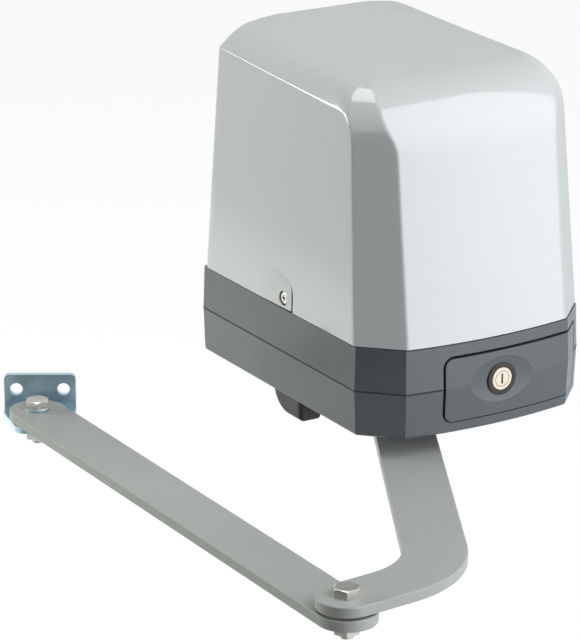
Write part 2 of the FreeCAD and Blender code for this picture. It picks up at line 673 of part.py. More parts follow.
def hood_sides(inset, z0, z1):
    """Tapered sides and the leaning rear with its round corners, left open to the front."""
    sections = []
    for z in (z0, z1):
        half = hood_half_at(z) - inset
        rear = -HOOD_REAR_SETBACK - REAR_LEAN * (z - HOOD_BASE) - inset
        corners = [Vector(-half, -BODY_DEPTH * 1.3, z), Vector(half, -BODY_DEPTH * 1.3, z),
                   Vector(half, rear, z), Vector(-half, rear, z)]
        corner = HOOD_REAR_CORNER - inset
        sections.append(rounded_wire(corners, [0, 0, corner, corner]))
    return Part.makeLoft(sections, True, True)


def roof_section(y, inset):
    """Cross-section of the roof: a flat middle and two bulged shoulders that fall to the ridges."""
    ridge = RIDGE_Z + ROOF_SLOPE * (y - SHAFT_Y) - inset
    flat = ridge + ROOF_RISE
    half = hood_half_at(ridge) - inset
    crease = CREASE_HALF_REAR + CREASE_SPREAD * (CREASE_REAR_Y - y) - inset
    foot = Vector(half + RIDGE_OVERHANG, y, ridge - RIDGE_OVERHANG * 0.8)
    top = Vector(crease, y, flat)
    chord = (top - foot).normalize()
    bulge = (foot + top) * 0.5 + Vector(chord.z, 0, -chord.x) * SHOULDER_BULGE
    outer = Vector(half + RIDGE_HEIGHT / 4, y, foot.z - RIDGE_HEIGHT / 4)
    bottom = Vector(outer.x, y, HOOD_BASE - RIDGE_HEIGHT / 4)

    def mirror(point):
        return Vector(-point.x, point.y, point.z)

    edges = [
        Part.LineSegment(bottom, outer).toShape(),
        Part.LineSegment(outer, foot).toShape(),
        Part.Arc(foot, bulge, top).toShape(),
        Part.LineSegment(top, mirror(top)).toShape(),
        Part.Arc(mirror(top), mirror(bulge), mirror(foot)).toShape(),
        Part.LineSegment(mirror(foot), mirror(outer)).toShape(),
        Part.LineSegment(mirror(outer), mirror(bottom)).toShape(),
        Part.LineSegment(mirror(bottom), bottom).toShape(),
    ]
    return Part.Wire(edges)


def hood_roof(inset):
    return Part.makeLoft([roof_section(BODY_DEPTH / 10, inset), roof_section(-BODY_DEPTH * 1.1, inset)], True, True)


def roof_flat_at(y):
    return RIDGE_Z + ROOF_RISE + ROOF_SLOPE * (y - SHAFT_Y)


def hood_nose(inset):
    """Leaning front and its rolled top edge, turned about the upright axis of the front bow."""
    axis_y = FRONT_CENTRE_Y + FRONT_RADIUS
    low = HOOD_BASE - RIDGE_HEIGHT / 4
    rear = axis_y - FRONT_RADIUS / 10

    def front_at(z):
        return FRONT_CENTRE_Y + FRONT_LEAN * (z - HOOD_BASE) + inset

    def roof_at(y):
        return roof_flat_at(y) + NOSE_CLEAR - inset

    tip_z = roof_at(front_at(roof_at(FRONT_CENTRE_Y)))
    corners = [Vector(0, rear, low), Vector(0, front_at(low), low), Vector(0, front_at(tip_z), tip_z),
               Vector(0, rear, roof_at(rear))]
    face = Part.Face(rounded_wire(corners, [0, 0, NOSE_RADIUS - inset, 0]))
    axis = Vector(0, axis_y, 0)
    sweep = 120.0
    face.rotate(axis, UP, -sweep / 2)
    return face.revolve(axis, UP, sweep)


def hood_corner(inset):
    """Waste outside the left front chamfer, whose top rolls over into the roof, wider at the side than in front."""
    out = Vector(-HALF_ROOT, -HALF_ROOT, 0)
    along = Vector(HALF_ROOT, -HALF_ROOT, 0)
    lean = math.atan(CORNER_LEAN)
    last = math.radians(90 - CORNER_ROLL_END)
    low = HOOD_BASE - RIDGE_HEIGHT / 4
    run = BODY_WIDTH / 2
    outside = CORNER_REACH + run
    sections = []
    for place, radius in ((CORNER_START, CORNER_ROLL_SIDE), (CORNER_FINISH, CORNER_ROLL_FRONT)):
        corner_y = (out * CORNER_REACH + along * place).y
        centre_z = roof_flat_at(corner_y + radius * HALF_ROOT) + NOSE_CLEAR - radius
        centre_n = CORNER_REACH - CORNER_LEAN * (centre_z - HOOD_BASE) - radius / math.cos(lean)
        bend = radius - inset
        rolled = [(centre_n + bend * math.cos(angle), centre_z + bend * math.sin(angle))
                  for angle in (lean, (lean + last) / 2, last)]
        foot = (rolled[0][0] + CORNER_LEAN * (rolled[0][1] - low), low)
        inner = (rolled[2][0] - run, rolled[2][1] + run / math.tan(last))
        flat = [foot] + rolled + [inner, (outside, inner[1]), (outside, low)]
        points = [out * n + along * place + UP * z for n, z in flat]
        edges = [Part.LineSegment(points[0], points[1]).toShape(),
                 Part.Arc(points[1], points[2], points[3]).toShape()]
        rest = points[3:] + points[:1]
        edges += [Part.LineSegment(a, b).toShape() for a, b in zip(rest, rest[1:])]
        sections.append(Part.Wire(edges))
    return Part.makeLoft(sections, True, True)


def hood_block(inset, z0):
    """Whole outer form of the hood, or its hollow when drawn in by the wall."""
    top = RIDGE_Z + RIDGE_HEIGHT / 4
    form = hood_sides(inset, z0, top).common(hood_roof(inset)).common(hood_nose(inset))
    waste = hood_corner(inset)
    return form.cut([waste, waste.mirror(Vector(), Vector(1, 0, 0))])


def make_hood():
    """Moulded shell with a round-topped screw pocket in each side."""
    outer = hood_block(0, HOOD_BASE)
    hollow = hood_block(HOOD_WALL, HOOD_BASE - HOOD_WALL)
    screw_z = HOOD_BASE + HOOD_SCREW_RISE
    half = hood_half_at(screw_z)
    shell = outer.cut(hollow)
    pads = []
    pockets = []
    for sign in (-1, 1):
        way = Vector(sign, 0, 0)
        floor = Vector(sign * (half - SCREW_POCKET_DEPTH), HOOD_SCREW_Y, screw_z)
        thick = SCREW_POCKET_RADIUS + HOOD_WALL
        for radius, start, length, found in (
                (thick, floor - way * HOOD_WALL, SCREW_POCKET_DEPTH + HOOD_WALL, pads),
                (SCREW_POCKET_RADIUS, floor, SCREW_POCKET_DEPTH * 2, pockets)):
            x0, x1 = sorted((start.x, start.x + sign * length))
            found.append(cylinder(radius, length, start, way))
            found.append(block(x0, x1, HOOD_SCREW_Y - radius, HOOD_SCREW_Y + radius, HOOD_BASE, screw_z))
        hole = cylinder(HOOD_SCREW_RADIUS + SIDE_PLAY, HOOD_WALL * 2, floor - way * HOOD_WALL, way)
        pockets.append(hole)
    keep = [pad.common(outer) for pad in pads]
    return one([shell] + keep).cut(pockets)


def make_hood_screws():
    screw_z = HOOD_BASE + HOOD_SCREW_RISE
    seat = hood_half_at(screw_z) - SCREW_POCKET_DEPTH
    length = HOOD_WALL + SIDE_PLAY + SCREW_BOSS_LENGTH - 1
    screws = []
    for sign in (-1, 1):
        way = Vector(sign, 0, 0)
        start = Vector(sign * seat, HOOD_SCREW_Y, screw_z)
        head = cylinder(HOOD_SCREW_HEAD, HOOD_SCREW_HEAD_HEIGHT, start, way)
        rim = [edge for edge in head.Edges if abs(edge.CenterOfMass.x - start.x) > HOOD_SCREW_HEAD_HEIGHT * 0.9]
        head = head.makeFillet(HOOD_SCREW_HEAD_HEIGHT * 0.4, rim)
        outer = start + way * HOOD_SCREW_HEAD_HEIGHT
        for length_y, length_z in ((0.55, 0.12), (0.12, 0.55)):
            y = HOOD_SCREW_HEAD * length_y
            z = HOOD_SCREW_HEAD * length_z
            x0, x1 = sorted((outer.x, outer.x - sign * HOOD_SCREW_HEAD_HEIGHT * 0.5))
            head = head.cut(block(x0, x1, outer.y - y, outer.y + y, outer.z - z, outer.z + z))
        screws.append(head.fuse(cylinder(HOOD_SCREW_RADIUS, length, start, -way)).removeSplitter())
    return Part.Compound(screws)


# Release door, lock and release knob
def at_lock(shape):
    shape.Placement = LOCK_PLACE.multiply(shape.Placement)
    return shape


def make_release_door():
    """Curved panel cut from the base's own form, dished round the lock, with a pad behind it and two ears."""
    window = door_window(0, 0, 0, DOOR_END)
    panel = DOOR_SKIN.common(window)
    out = -LOCK_IN
    ring_end = LOCK_DISH_WIDE - LOCK_DISH_TALL
    dish = Part.makeTorus(ring_end, LOCK_DISH_TALL, LOCK_IN * (LOCK_SEAT_DEPTH - LOCK_DISH_WIDE))
    seat = cylinder(LOCK_RING_RADIUS, LOCK_PAD_DEPTH, LOCK_IN * LOCK_SEAT_DEPTH, out)
    hole = cylinder(LOCK_BODY_RADIUS, LOCK_PAD_DEPTH, LOCK_IN * LOCK_PAD_DEPTH, out)
    pad = cylinder(LOCK_PAD_RADIUS, LOCK_PAD_DEPTH - LOCK_SEAT_DEPTH, LOCK_IN * LOCK_SEAT_DEPTH, LOCK_IN)
    dish, seat, hole, pad = [at_lock(shape) for shape in (dish, seat, hole, pad)]
    ears = []
    for z in (DOOR_BOTTOM, DOOR_TOP - HINGE_EAR_HEIGHT):
        knuckle = cylinder(HINGE_EAR_RADIUS, HINGE_EAR_HEIGHT, HINGE + UP * z)
        ears.append(knuckle.common(BODY_SOLID))
    pins = [cylinder(HINGE_PIN_RADIUS, HINGE_EAR_HEIGHT, HINGE + UP * z)
            for z in (DOOR_BOTTOM, DOOR_TOP - HINGE_EAR_HEIGHT)]
    return one([panel, pad] + ears).cut([dish, seat, hole] + pins)


def make_door_pins():
    low_start = FLOOR_TOP - HINGE_PIN_BITE + SIDE_PLAY
    low = cylinder(HINGE_PIN_RADIUS, DOOR_BOTTOM + HINGE_EAR_HEIGHT - low_start, HINGE + UP * low_start)
    high_start = DOOR_TOP - HINGE_EAR_HEIGHT
    high_end = UPPER_HEIGHT - POCKET_CEILING + HINGE_PIN_BITE - SIDE_PLAY
    high = cylinder(HINGE_PIN_RADIUS, high_end - high_start, HINGE + UP * high_start)
    return Part.Compound([low, high])


def make_lock_bezel():
    """Dark ring on the flat of the door, with a body through the panel."""
    face = LOCK_SEAT_DEPTH - LOCK_RING_HEIGHT
    ring = cylinder(LOCK_RING_RADIUS, LOCK_RING_HEIGHT, Vector(0, face, 0), LOCK_IN)
    rim = [edge for edge in ring.Edges if edge.BoundBox.YMax < face + LOCK_RING_HEIGHT / 2]
    ring = ring.makeFillet(LOCK_RING_HEIGHT * 0.5, rim)
    body = cylinder(LOCK_BODY_RADIUS, LOCK_BODY_DEPTH, Vector(0, LOCK_SEAT_DEPTH, 0), LOCK_IN)
    bore = cylinder(LOCK_CYLINDER_RADIUS + RUNNING_FIT, LOCK_BODY_DEPTH * 2, Vector(0, face, 0), LOCK_IN)
    return at_lock(one([ring, body]).cut(bore))


def make_lock_cylinder():
    face = LOCK_SEAT_DEPTH - LOCK_RING_HEIGHT + LOCK_CYLINDER_PROUD - LOCK_RING_HEIGHT / 2
    back = LOCK_SEAT_DEPTH + LOCK_BODY_DEPTH
    plug = cylinder(LOCK_CYLINDER_RADIUS, back - face, Vector(0, face, 0), LOCK_IN)
    rim = [edge for edge in plug.Edges if edge.BoundBox.YMax < face + SIDE_PLAY]
    plug = plug.makeChamfer(LOCK_CYLINDER_PROUD * 0.5, rim)
    stem = cylinder(LOCK_STEM_RADIUS, LOCK_CAM_THICKNESS + SIDE_PLAY, Vector(0, back, 0), LOCK_IN)
    half = KEY_SLOT_WIDTH / 2
    slot = block(-half, half, face, face + KEY_SLOT_DEPTH, -KEY_SLOT_HEIGHT / 2, KEY_SLOT_HEIGHT / 2)
    return at_lock(one([plug, stem]).cut(slot))


def make_lock_cam():
    """Flat tongue behind the door that turns up behind the base's edge."""
    back = LOCK_SEAT_DEPTH + LOCK_BODY_DEPTH + SIDE_PLAY
    half = LOCK_CAM_WIDTH / 2
    corners = [Vector(-LOCK_CAM_LENGTH, back, -half), Vector(half * 1.4, back, -half),
               Vector(half * 1.4, back, half), Vector(-LOCK_CAM_LENGTH, back, half)]
    plate = rounded_plate(corners, [half * 0.6] * 4, LOCK_CAM_THICKNESS, LOCK_IN)
    return at_lock(plate.cut(cylinder(LOCK_STEM_RADIUS, LOCK_CAM_THICKNESS * 2, Vector(0, back, 0), LOCK_IN)))


def release_axis(y):
    return Vector(KNOB_X, y, KNOB_Z)


def make_release_knob():
    """Wing knob in the pocket, pressed on its spindle."""
    rear = POCKET_REAR - KNOB_STANDOFF
    way = Vector(0, -1, 0)
    hub = cylinder(KNOB_HUB_RADIUS, KNOB_HUB_LENGTH, release_axis(rear), way)
    half = KNOB_WING / 2
    corners = [release_axis(rear) + Vector(x, 0, z) for x, z in
               ((-KNOB_RADIUS, -half), (KNOB_RADIUS, -half), (KNOB_RADIUS, half), (-KNOB_RADIUS, half))]
    wing = rounded_plate(corners, [half * 0.95] * 4, KNOB_WING_LENGTH, way)
    wing = wing.common(cylinder(KNOB_RADIUS, KNOB_WING_LENGTH, release_axis(rear), way))
    bore = cylinder(SPINDLE_RADIUS, KNOB_HUB_LENGTH, release_axis(rear), way)
    return one([hub, wing]).cut(bore)


def make_release_spindle():
    front = POCKET_REAR - KNOB_STANDOFF - KNOB_HUB_LENGTH
    back = CASE_FRONT + CASE_WALL + RELEASE_CAM_CLEAR
    shaft = cylinder(SPINDLE_RADIUS, back - front, release_axis(front), Vector(0, 1, 0))
    cam = cylinder(RELEASE_CAM_RADIUS, RELEASE_CAM_WIDTH, release_axis(back), Vector(0, 1, 0))
    level = RELEASE_CAM_RADIUS * 0.4
    shave = block(KNOB_X - RELEASE_CAM_RADIUS, KNOB_X + RELEASE_CAM_RADIUS, back, back + RELEASE_CAM_WIDTH,
                  KNOB_Z - RELEASE_CAM_RADIUS, KNOB_Z - level)
    return one([shaft, cam.cut(shave)])


# Gear train
def involute_gear(teeth, width, bottom, turn, backlash=BACKLASH):
    """Spur gear with involute flanks, stub teeth and the backlash taken off each flank."""
    pitch = MODULE * teeth / 2
    tip = pitch + MODULE * ADDENDUM
    root = pitch - MODULE * DEDENDUM
    base = pitch * math.cos(math.radians(PRESSURE_ANGLE))
    start = max(base, root)

    def involute(radius):
        pressure = math.acos(min(base / radius, 1.0))
        return math.tan(pressure) - pressure

    half_pitch = math.pi / teeth / 2 - backlash / (2 * pitch) + involute(pitch)
    flank = [start + (tip - start) * k / 3 for k in range(4)]
    edges = []
    for tooth in range(teeth):
        middle = turn + 2 * math.pi * tooth / teeth

        def at(radius, side):
            angle = middle + side * (half_pitch - involute(max(radius, base)))
            return Vector(radius * math.cos(angle), radius * math.sin(angle), bottom)

        def polar(radius, angle):
            return Vector(radius * math.cos(angle), radius * math.sin(angle), bottom)

        rising = Part.BSplineCurve()
        rising.interpolate([at(radius, -1) for radius in flank])
        falling = Part.BSplineCurve()
        falling.interpolate([at(radius, 1) for radius in reversed(flank)])
        foot_angle = half_pitch
        next_middle = middle + 2 * math.pi / teeth
        if root < start:
            edges.append(Part.LineSegment(polar(root, middle - foot_angle), at(start, -1)).toShape())
        edges.append(rising.toShape())
        edges.append(Part.Arc(at(tip, -1), polar(tip, middle), at(tip, 1)).toShape())
        edges.append(falling.toShape())
        if root < start:
            edges.append(Part.LineSegment(at(start, 1), polar(root, middle + foot_angle)).toShape())
            valley = (polar(root, middle + foot_angle), polar(root, next_middle - foot_angle))
        else:
            low = half_pitch - involute(root)
            valley = (polar(root, middle + low), polar(root, next_middle - low))
        edges.append(Part.Arc(valley[0], polar(root, middle + math.pi / teeth), valley[1]).toShape())
    return Part.Face(Part.Wire(edges)).extrude(UP * width)


def make_output_gear():
    """Drive gear on the output shaft, with a web thinner than its rim and hub."""
    toward_pinion = math.radians(90 + PINION_ANGLE)
    gear = involute_gear(OUTPUT_TEETH, GEAR_WIDTH, GEAR_BOTTOM, toward_pinion + math.pi / OUTPUT_TEETH)
    rim = PITCH_OUTPUT - MODULE * 4
    groove = tube(rim, GEAR_HUB_RADIUS, GEAR_WIDTH / 3, UP * (GEAR_BOTTOM + GEAR_WIDTH * 2 / 3))
    under = tube(rim, GEAR_HUB_RADIUS, GEAR_WIDTH / 3, UP * GEAR_BOTTOM)
    hub_low = CASE_FLOOR_TOP + SIDE_PLAY
    hub_high = CASE_TOP - LID_BOSS - SIDE_PLAY
    hub = cylinder(GEAR_HUB_RADIUS, hub_high - hub_low, UP * hub_low)
    bore = cylinder(OUTPUT_SHAFT_RADIUS, hub_high - hub_low, UP * hub_low)
    gear = one([gear.cut([groove, under]), hub]).cut(bore)
    gear.translate(SHAFT)
    return gear


def make_output_shaft():
    """Stepped shaft: running length, then a reduced end for the crank with a tapped hole in it."""
    body = cylinder(OUTPUT_SHAFT_RADIUS, LID_TOP - SIDE_PLAY - CRANK_TOP, SHAFT + UP * CRANK_TOP)
    end = cylinder(CRANK_SPLINE_RADIUS, CRANK_THICKNESS - SIDE_PLAY, SHAFT + UP * (CRANK_BOTTOM + SIDE_PLAY))
    hole = cylinder(CRANK_BOLT_RADIUS, CRANK_BOLT_LENGTH, SHAFT + UP * CRANK_BOTTOM)
    return one([body, end]).cut(hole)


def make_pinion_shaft():
    """Shaft cut with its pinion, which runs in the case floor and the lid."""
    low = FLOOR_TOP + SIDE_PLAY
    high = WORM_Z + WHEEL_WIDTH / 2 + 4
    shaft = cylinder(PINION_SHAFT_RADIUS, high - low, UP * low)
    away = math.radians(90 + PINION_ANGLE + 180)
    bottom = GEAR_BOTTOM - 1
    pinion = involute_gear(PINION_TEETH, GEAR_WIDTH + 2, bottom, away)
    solid = one([shaft, pinion])
    solid.translate(Vector(PINION_X, PINION_Y, 0))
    return solid


def make_worm_wheel():
    """Bronze wheel with teeth slanted to the worm's lead, on a hub that reaches down to the lid."""
    lead_angle = math.atan(MODULE / (2 * WORM_PITCH_RADIUS))
    bottom = WORM_Z - WHEEL_WIDTH / 2
    toward_worm = math.pi / 2 + math.pi / WHEEL_TEETH
    twist = WHEEL_WIDTH * math.tan(lead_angle) / PITCH_WHEEL
    flat = involute_gear(WHEEL_TEETH, 1, 0, toward_worm, WORM_BACKLASH)
    outline = min(flat.Faces, key=lambda face: face.CenterOfMass.z).OuterWire
    sections = []
    for share in (0.0, 0.5, 1.0):
        wire = outline.copy()
        wire.rotate(Vector(), UP, math.degrees(twist * (share - 0.5)))
        wire.translate(UP * (bottom + WHEEL_WIDTH * share))
        sections.append(wire)
    rim = Part.makeLoft(sections, True, False)
    hub_low = LID_TOP + SIDE_PLAY * 2
    hub = cylinder(WHEEL_HUB_RADIUS, bottom + WHEEL_WIDTH - hub_low, UP * hub_low)
    bore = cylinder(PINION_SHAFT_RADIUS, WORM_Z * 3, UP * hub_low)
    wheel = one([rim, hub]).cut(bore)
    wheel.translate(Vector(PINION_X, PINION_Y, 0))
    return wheel


def make_worm_shaft():
    """Worm of one start on the motor's shaft, its thread a straight-sided rack in section."""
    lead = math.pi * MODULE
    tip = WORM_PITCH_RADIUS + MODULE * ADDENDUM
    root = WORM_PITCH_RADIUS - MODULE * DEDENDUM
    sink = 0.4
    slope = math.tan(math.radians(PRESSURE_ANGLE))
    half = lead / 4 - WORM_BACKLASH / 4

    def flank(radius):
        return half - (radius - WORM_PITCH_RADIUS) * slope

    low = root - sink
    corners = [Vector(low, 0, -flank(low)), Vector(tip, 0, -flank(tip)), Vector(tip, 0, flank(tip)),
               Vector(low, 0, flank(low)), Vector(low, 0, -flank(low))]
    helix = Part.makeHelix(lead, WORM_LENGTH, WORM_PITCH_RADIUS)
    thread = Part.Wire(helix.Edges).makePipeShell([Part.makePolygon(corners)], True, True)
    thread.translate(UP * (-WORM_LENGTH / 2))
    core = cylinder(root, WORM_LENGTH + lead, UP * (-WORM_LENGTH / 2 - lead / 2))
    worm = core.fuse(thread)
    to_wheel = 270 - 360 * (WORM_LENGTH / (2 * lead))
    worm.rotate(Vector(), UP, to_wheel)
    worm.rotate(Vector(), Vector(0, 1, 0), 90)
    worm.translate(Vector(PINION_X, WORM_Y, WORM_Z))
    start = CASE_LEFT + WORM_HOUSING_WALL + 1
    end = WORM_HOUSING_RIGHT + MOTOR_LENGTH + MOTOR_CAP_LENGTH - 3
    shaft = cylinder(WORM_SHAFT_RADIUS, end - start, Vector(start, WORM_Y, WORM_Z), Vector(1, 0, 0))
    return one([worm, shaft])


def make_motor_rotor():
    start = Vector(WORM_HOUSING_RIGHT + ROTOR_START, WORM_Y, WORM_Z)
    return tube(ROTOR_RADIUS, WORM_SHAFT_RADIUS, ROTOR_LENGTH, start, Vector(1, 0, 0))


def make_motor_body():
    """Motor can with a front wall that carries the shaft, bolted against the worm housing."""
    along = Vector(1, 0, 0)
    start = Vector(WORM_HOUSING_RIGHT, WORM_Y, WORM_Z)
    can = cylinder(MOTOR_RADIUS, MOTOR_LENGTH, start, along)
    hollow = cylinder(MOTOR_RADIUS - MOTOR_WALL, MOTOR_LENGTH, start + along * MOTOR_WALL, along)
    bore = cylinder(WORM_SHAFT_RADIUS + RUNNING_FIT, MOTOR_LENGTH, start, along)
    return can.cut([hollow, bore])


def make_motor_cap():
    """End bell with a blind bearing bore and cooling slots round its face."""
    along = Vector(1, 0, 0)
    start = Vector(WORM_HOUSING_RIGHT + MOTOR_LENGTH, WORM_Y, WORM_Z)
    cap = cylinder(MOTOR_RADIUS, MOTOR_CAP_LENGTH, start, along)
    rim = [edge for edge in cap.Edges if edge.BoundBox.XMin > start.x + MOTOR_CAP_LENGTH / 2]
    cap = cap.makeFillet(MOTOR_CAP_LENGTH * 0.4, rim)
    bore = cylinder(WORM_SHAFT_RADIUS + RUNNING_FIT, MOTOR_CAP_LENGTH - 2, start, along)
    slots = []
    for k in range(8):
        slot = block(0, MOTOR_CAP_LENGTH, -1.5, 1.5, MOTOR_RADIUS * 0.5, MOTOR_RADIUS * 0.75)
        slot.rotate(Vector(), along, 45 * k)
        slot.translate(start)
        slots.append(slot)
    return cap.cut([bore] + slots)


def make_worm_bearing():
    start = Vector(CASE_LEFT + WORM_HOUSING_WALL, WORM_Y, WORM_Z)
    outer = WORM_SHAFT_RADIUS + WORM_BEARING_WALL
    return tube(outer, WORM_SHAFT_RADIUS + RUNNING_FIT, WORM_BEARING_LENGTH, start, Vector(1, 0, 0))


# Gearbox
def lid_screw_places():
    xs = (CASE_LEFT + LID_SCREW_INSET, CASE_RIGHT - LID_SCREW_INSET)
    ys = (CASE_FRONT + LID_SCREW_INSET, CASE_REAR - LID_SCREW_INSET)
    return [Vector(x, y, LID_TOP) for x in xs for y in ys]


def make_gearbox_case():
    """Cast tray on the base's floor, with corner bosses for the lid's screws."""
    outer = rounded_block(CASE_LEFT, CASE_RIGHT, CASE_FRONT, CASE_REAR, FLOOR_TOP, CASE_TOP, CASE_CORNER)
    hollow = rounded_block(CASE_LEFT + CASE_WALL, CASE_RIGHT - CASE_WALL, CASE_FRONT + CASE_WALL,
                           CASE_REAR - CASE_WALL, CASE_FLOOR_TOP, CASE_TOP, CASE_CORNER - CASE_WALL)
    corners = [cylinder(LID_SCREW_INSET, CASE_TOP - FLOOR_TOP, Vector(place.x, place.y, FLOOR_TOP))
               for place in lid_screw_places()]
    solid = one([outer.cut(hollow)] + [piece.common(outer) for piece in corners])
    pinion = Vector(PINION_X, PINION_Y, FLOOR_TOP)
    cuts = [
        cylinder(OUTPUT_SHAFT_RADIUS + BUSH_WALL, CASE_WALL, SHAFT + UP * FLOOR_TOP),
        cylinder(PINION_SHAFT_RADIUS + BUSH_WALL, CASE_WALL, pinion),
        cylinder(SPINDLE_RADIUS + RUNNING_FIT, CASE_WALL, release_axis(CASE_FRONT), Vector(0, 1, 0)),
    ]
    for place in lid_screw_places():
        cuts.append(cylinder(SCREW_RADIUS, LID_SCREW_LENGTH, place - UP * LID_SCREW_LENGTH))
    return solid.cut(cuts)


def make_gearbox_lid():
    plate = rounded_block(CASE_LEFT, CASE_RIGHT, CASE_FRONT, CASE_REAR, CASE_TOP, LID_TOP, CASE_CORNER)
    pinion = Vector(PINION_X, PINION_Y, 0)
    low = CASE_TOP - LID_BOSS
    bosses = []
    bores = []
    for place, radius in ((SHAFT, OUTPUT_SHAFT_RADIUS), (pinion, PINION_SHAFT_RADIUS)):
        bosses.append(cylinder(radius + BUSH_WALL * 2, LID_BOSS, place + UP * low))
        bores.append(cylinder(radius + BUSH_WALL, LID_THICKNESS + LID_BOSS, place + UP * low))
    for place in lid_screw_places():
        bores.append(cylinder(SCREW_RADIUS + SIDE_PLAY, LID_THICKNESS, place - UP * LID_THICKNESS))
        bores.append(cylinder(SCREW_HEAD_RADIUS + SIDE_PLAY, LID_SCREW_SINK, place - UP * LID_SCREW_SINK))
    return one([plate] + bosses).cut(bores)


def make_gearbox_screws():
    screws = []
    for place in lid_screw_places():
        seat = place - UP * LID_SCREW_SINK
        head = cylinder(SCREW_HEAD_RADIUS, SCREW_HEAD_HEIGHT, seat)
        socket = hexagon(SCREW_RADIUS * 1.6, SCREW_HEAD_HEIGHT / 2, seat + UP * (SCREW_HEAD_HEIGHT / 2))
        shank = cylinder(SCREW_RADIUS, LID_SCREW_LENGTH - LID_SCREW_SINK - 1, place - UP * (LID_SCREW_LENGTH - 1))
        screws.append(head.cut(socket).fuse(shank).removeSplitter())
    return Part.Compound(screws)


def make_bush(radius, low, high, place):
    return tube(radius + BUSH_WALL, radius + RUNNING_FIT, high - low, place + UP * low)


def make_worm_housing():
    """Cast cover over the worm and its wheel, open below, with the outer bearing's boss inside."""
    along = Vector(1, 0, 0)
    wall = WORM_HOUSING_WALL
    screw_clear = LID_SCREW_INSET + SCREW_HEAD_RADIUS + SIDE_PLAY
    outer = block(CASE_LEFT, WORM_HOUSING_RIGHT, WORM_HOUSING_FRONT, CASE_REAR, LID_TOP, WORM_HOUSING_TOP)
    hollow = block(CASE_LEFT + wall, WORM_HOUSING_RIGHT - wall, WORM_HOUSING_FRONT + wall, CASE_REAR - wall,
                   LID_TOP, WORM_HOUSING_TOP - wall)
    notch = block(CASE_LEFT, CASE_LEFT + screw_clear, CASE_REAR - screw_clear, CASE_REAR, LID_TOP,
                  LID_TOP + SCREW_HEAD_HEIGHT - LID_SCREW_SINK + SIDE_PLAY)
    upright = [edge for edge in outer.Edges if edge.BoundBox.ZLength > wall]
    outer = outer.makeFillet(wall * 1.5, upright)
    inner = Vector(CASE_LEFT + wall, WORM_Y, WORM_Z)
    seat = WORM_SHAFT_RADIUS + WORM_BEARING_WALL
    boss = cylinder(seat + wall, WORM_BEARING_LENGTH, inner, along)
    solid = one([outer.cut(hollow), boss.common(outer)])
    shaft_way = cylinder(WORM_SHAFT_RADIUS + wall, wall, Vector(WORM_HOUSING_RIGHT - wall, WORM_Y, WORM_Z), along)
    return solid.cut([cylinder(seat, WORM_BEARING_LENGTH, inner, along), shaft_way, notch])


# Arm
def line_meet(point_a, way_a, point_b, way_b):
    """Where two lines in plan cross."""
    across = way_a.x * way_b.y - way_a.y * way_b.x
    gap = point_b - point_a
    return point_a + way_a * ((gap.x * way_b.y - gap.y * way_b.x) / across)


def bar_side(way, width):
    return Vector(-way.y, way.x, 0) * (width / 2)


def make_crank_arm():
    """Flat bar bent in plan, round at both ends, on the shaft's reduced end."""
    leg_side = bar_side(LEG_WAY, CRANK_LEG_WIDTH)
    tip_side = bar_side(TIP_WAY, CRANK_TIP_WIDTH)
    heel = SHAFT - LEG_WAY * (CRANK_LEG_WIDTH / 2)
    toe = ELBOW + TIP_WAY * (CRANK_TIP_WIDTH / 2)
    inner = line_meet(heel - leg_side, LEG_WAY, toe - tip_side, TIP_WAY)
    outer = line_meet(heel + leg_side, LEG_WAY, toe + tip_side, TIP_WAY)
    corners = [heel - leg_side, inner, toe - tip_side, toe + tip_side, outer, heel + leg_side]
    round_heel = CRANK_LEG_WIDTH / 2 - BAR_EDGE / 4
    round_toe = CRANK_TIP_WIDTH / 2 - BAR_EDGE / 4
    radii = [round_heel, CRANK_INNER_RADIUS, round_toe, round_toe, CRANK_OUTER_RADIUS, round_heel]
    bar = rounded_plate([corner + UP * CRANK_BOTTOM for corner in corners], radii, CRANK_THICKNESS)
    bar = eased(bar, BAR_EDGE, (CRANK_BOTTOM, CRANK_TOP))
    return bar.cut([cylinder(CRANK_SPLINE_RADIUS, CRANK_THICKNESS, SHAFT + UP * CRANK_BOTTOM),
                    cylinder(ARM_BOLT_RADIUS, CRANK_THICKNESS, ELBOW + UP * CRANK_BOTTOM)])


def make_crank_washer():
    start = SHAFT + UP * (CRANK_BOTTOM - CRANK_WASHER_THICKNESS)
    return tube(CRANK_WASHER_RADIUS, CRANK_BOLT_RADIUS, CRANK_WASHER_THICKNESS, start)


def hex_bolt(across, head, radius, top, tip, place):
    """Hexagon-headed bolt hanging from its head's under-face at the top height."""
    cap = hexagon(across, head, place + UP * top)
    cap = cap.common(Part.makeCone(across * 0.5 + head * 1.7, across * 0.47, head, place + UP * top))
    return cap.fuse(cylinder(radius, top - tip, place + UP * tip)).removeSplitter()


def make_crank_bolt():
    seat = CRANK_BOTTOM - CRANK_WASHER_THICKNESS
    head = hexagon(CRANK_BOLT_ACROSS, CRANK_BOLT_HEAD, SHAFT + UP * (seat - CRANK_BOLT_HEAD))
    shank = cylinder(CRANK_BOLT_RADIUS, CRANK_BOLT_LENGTH, SHAFT + UP * seat)
    return head.fuse(shank).removeSplitter()


def make_nut(across, radius, top, height, place):
    return hexagon(across, height, place + UP * (top - height)).cut(
        cylinder(radius, height, place + UP * (top - height)))


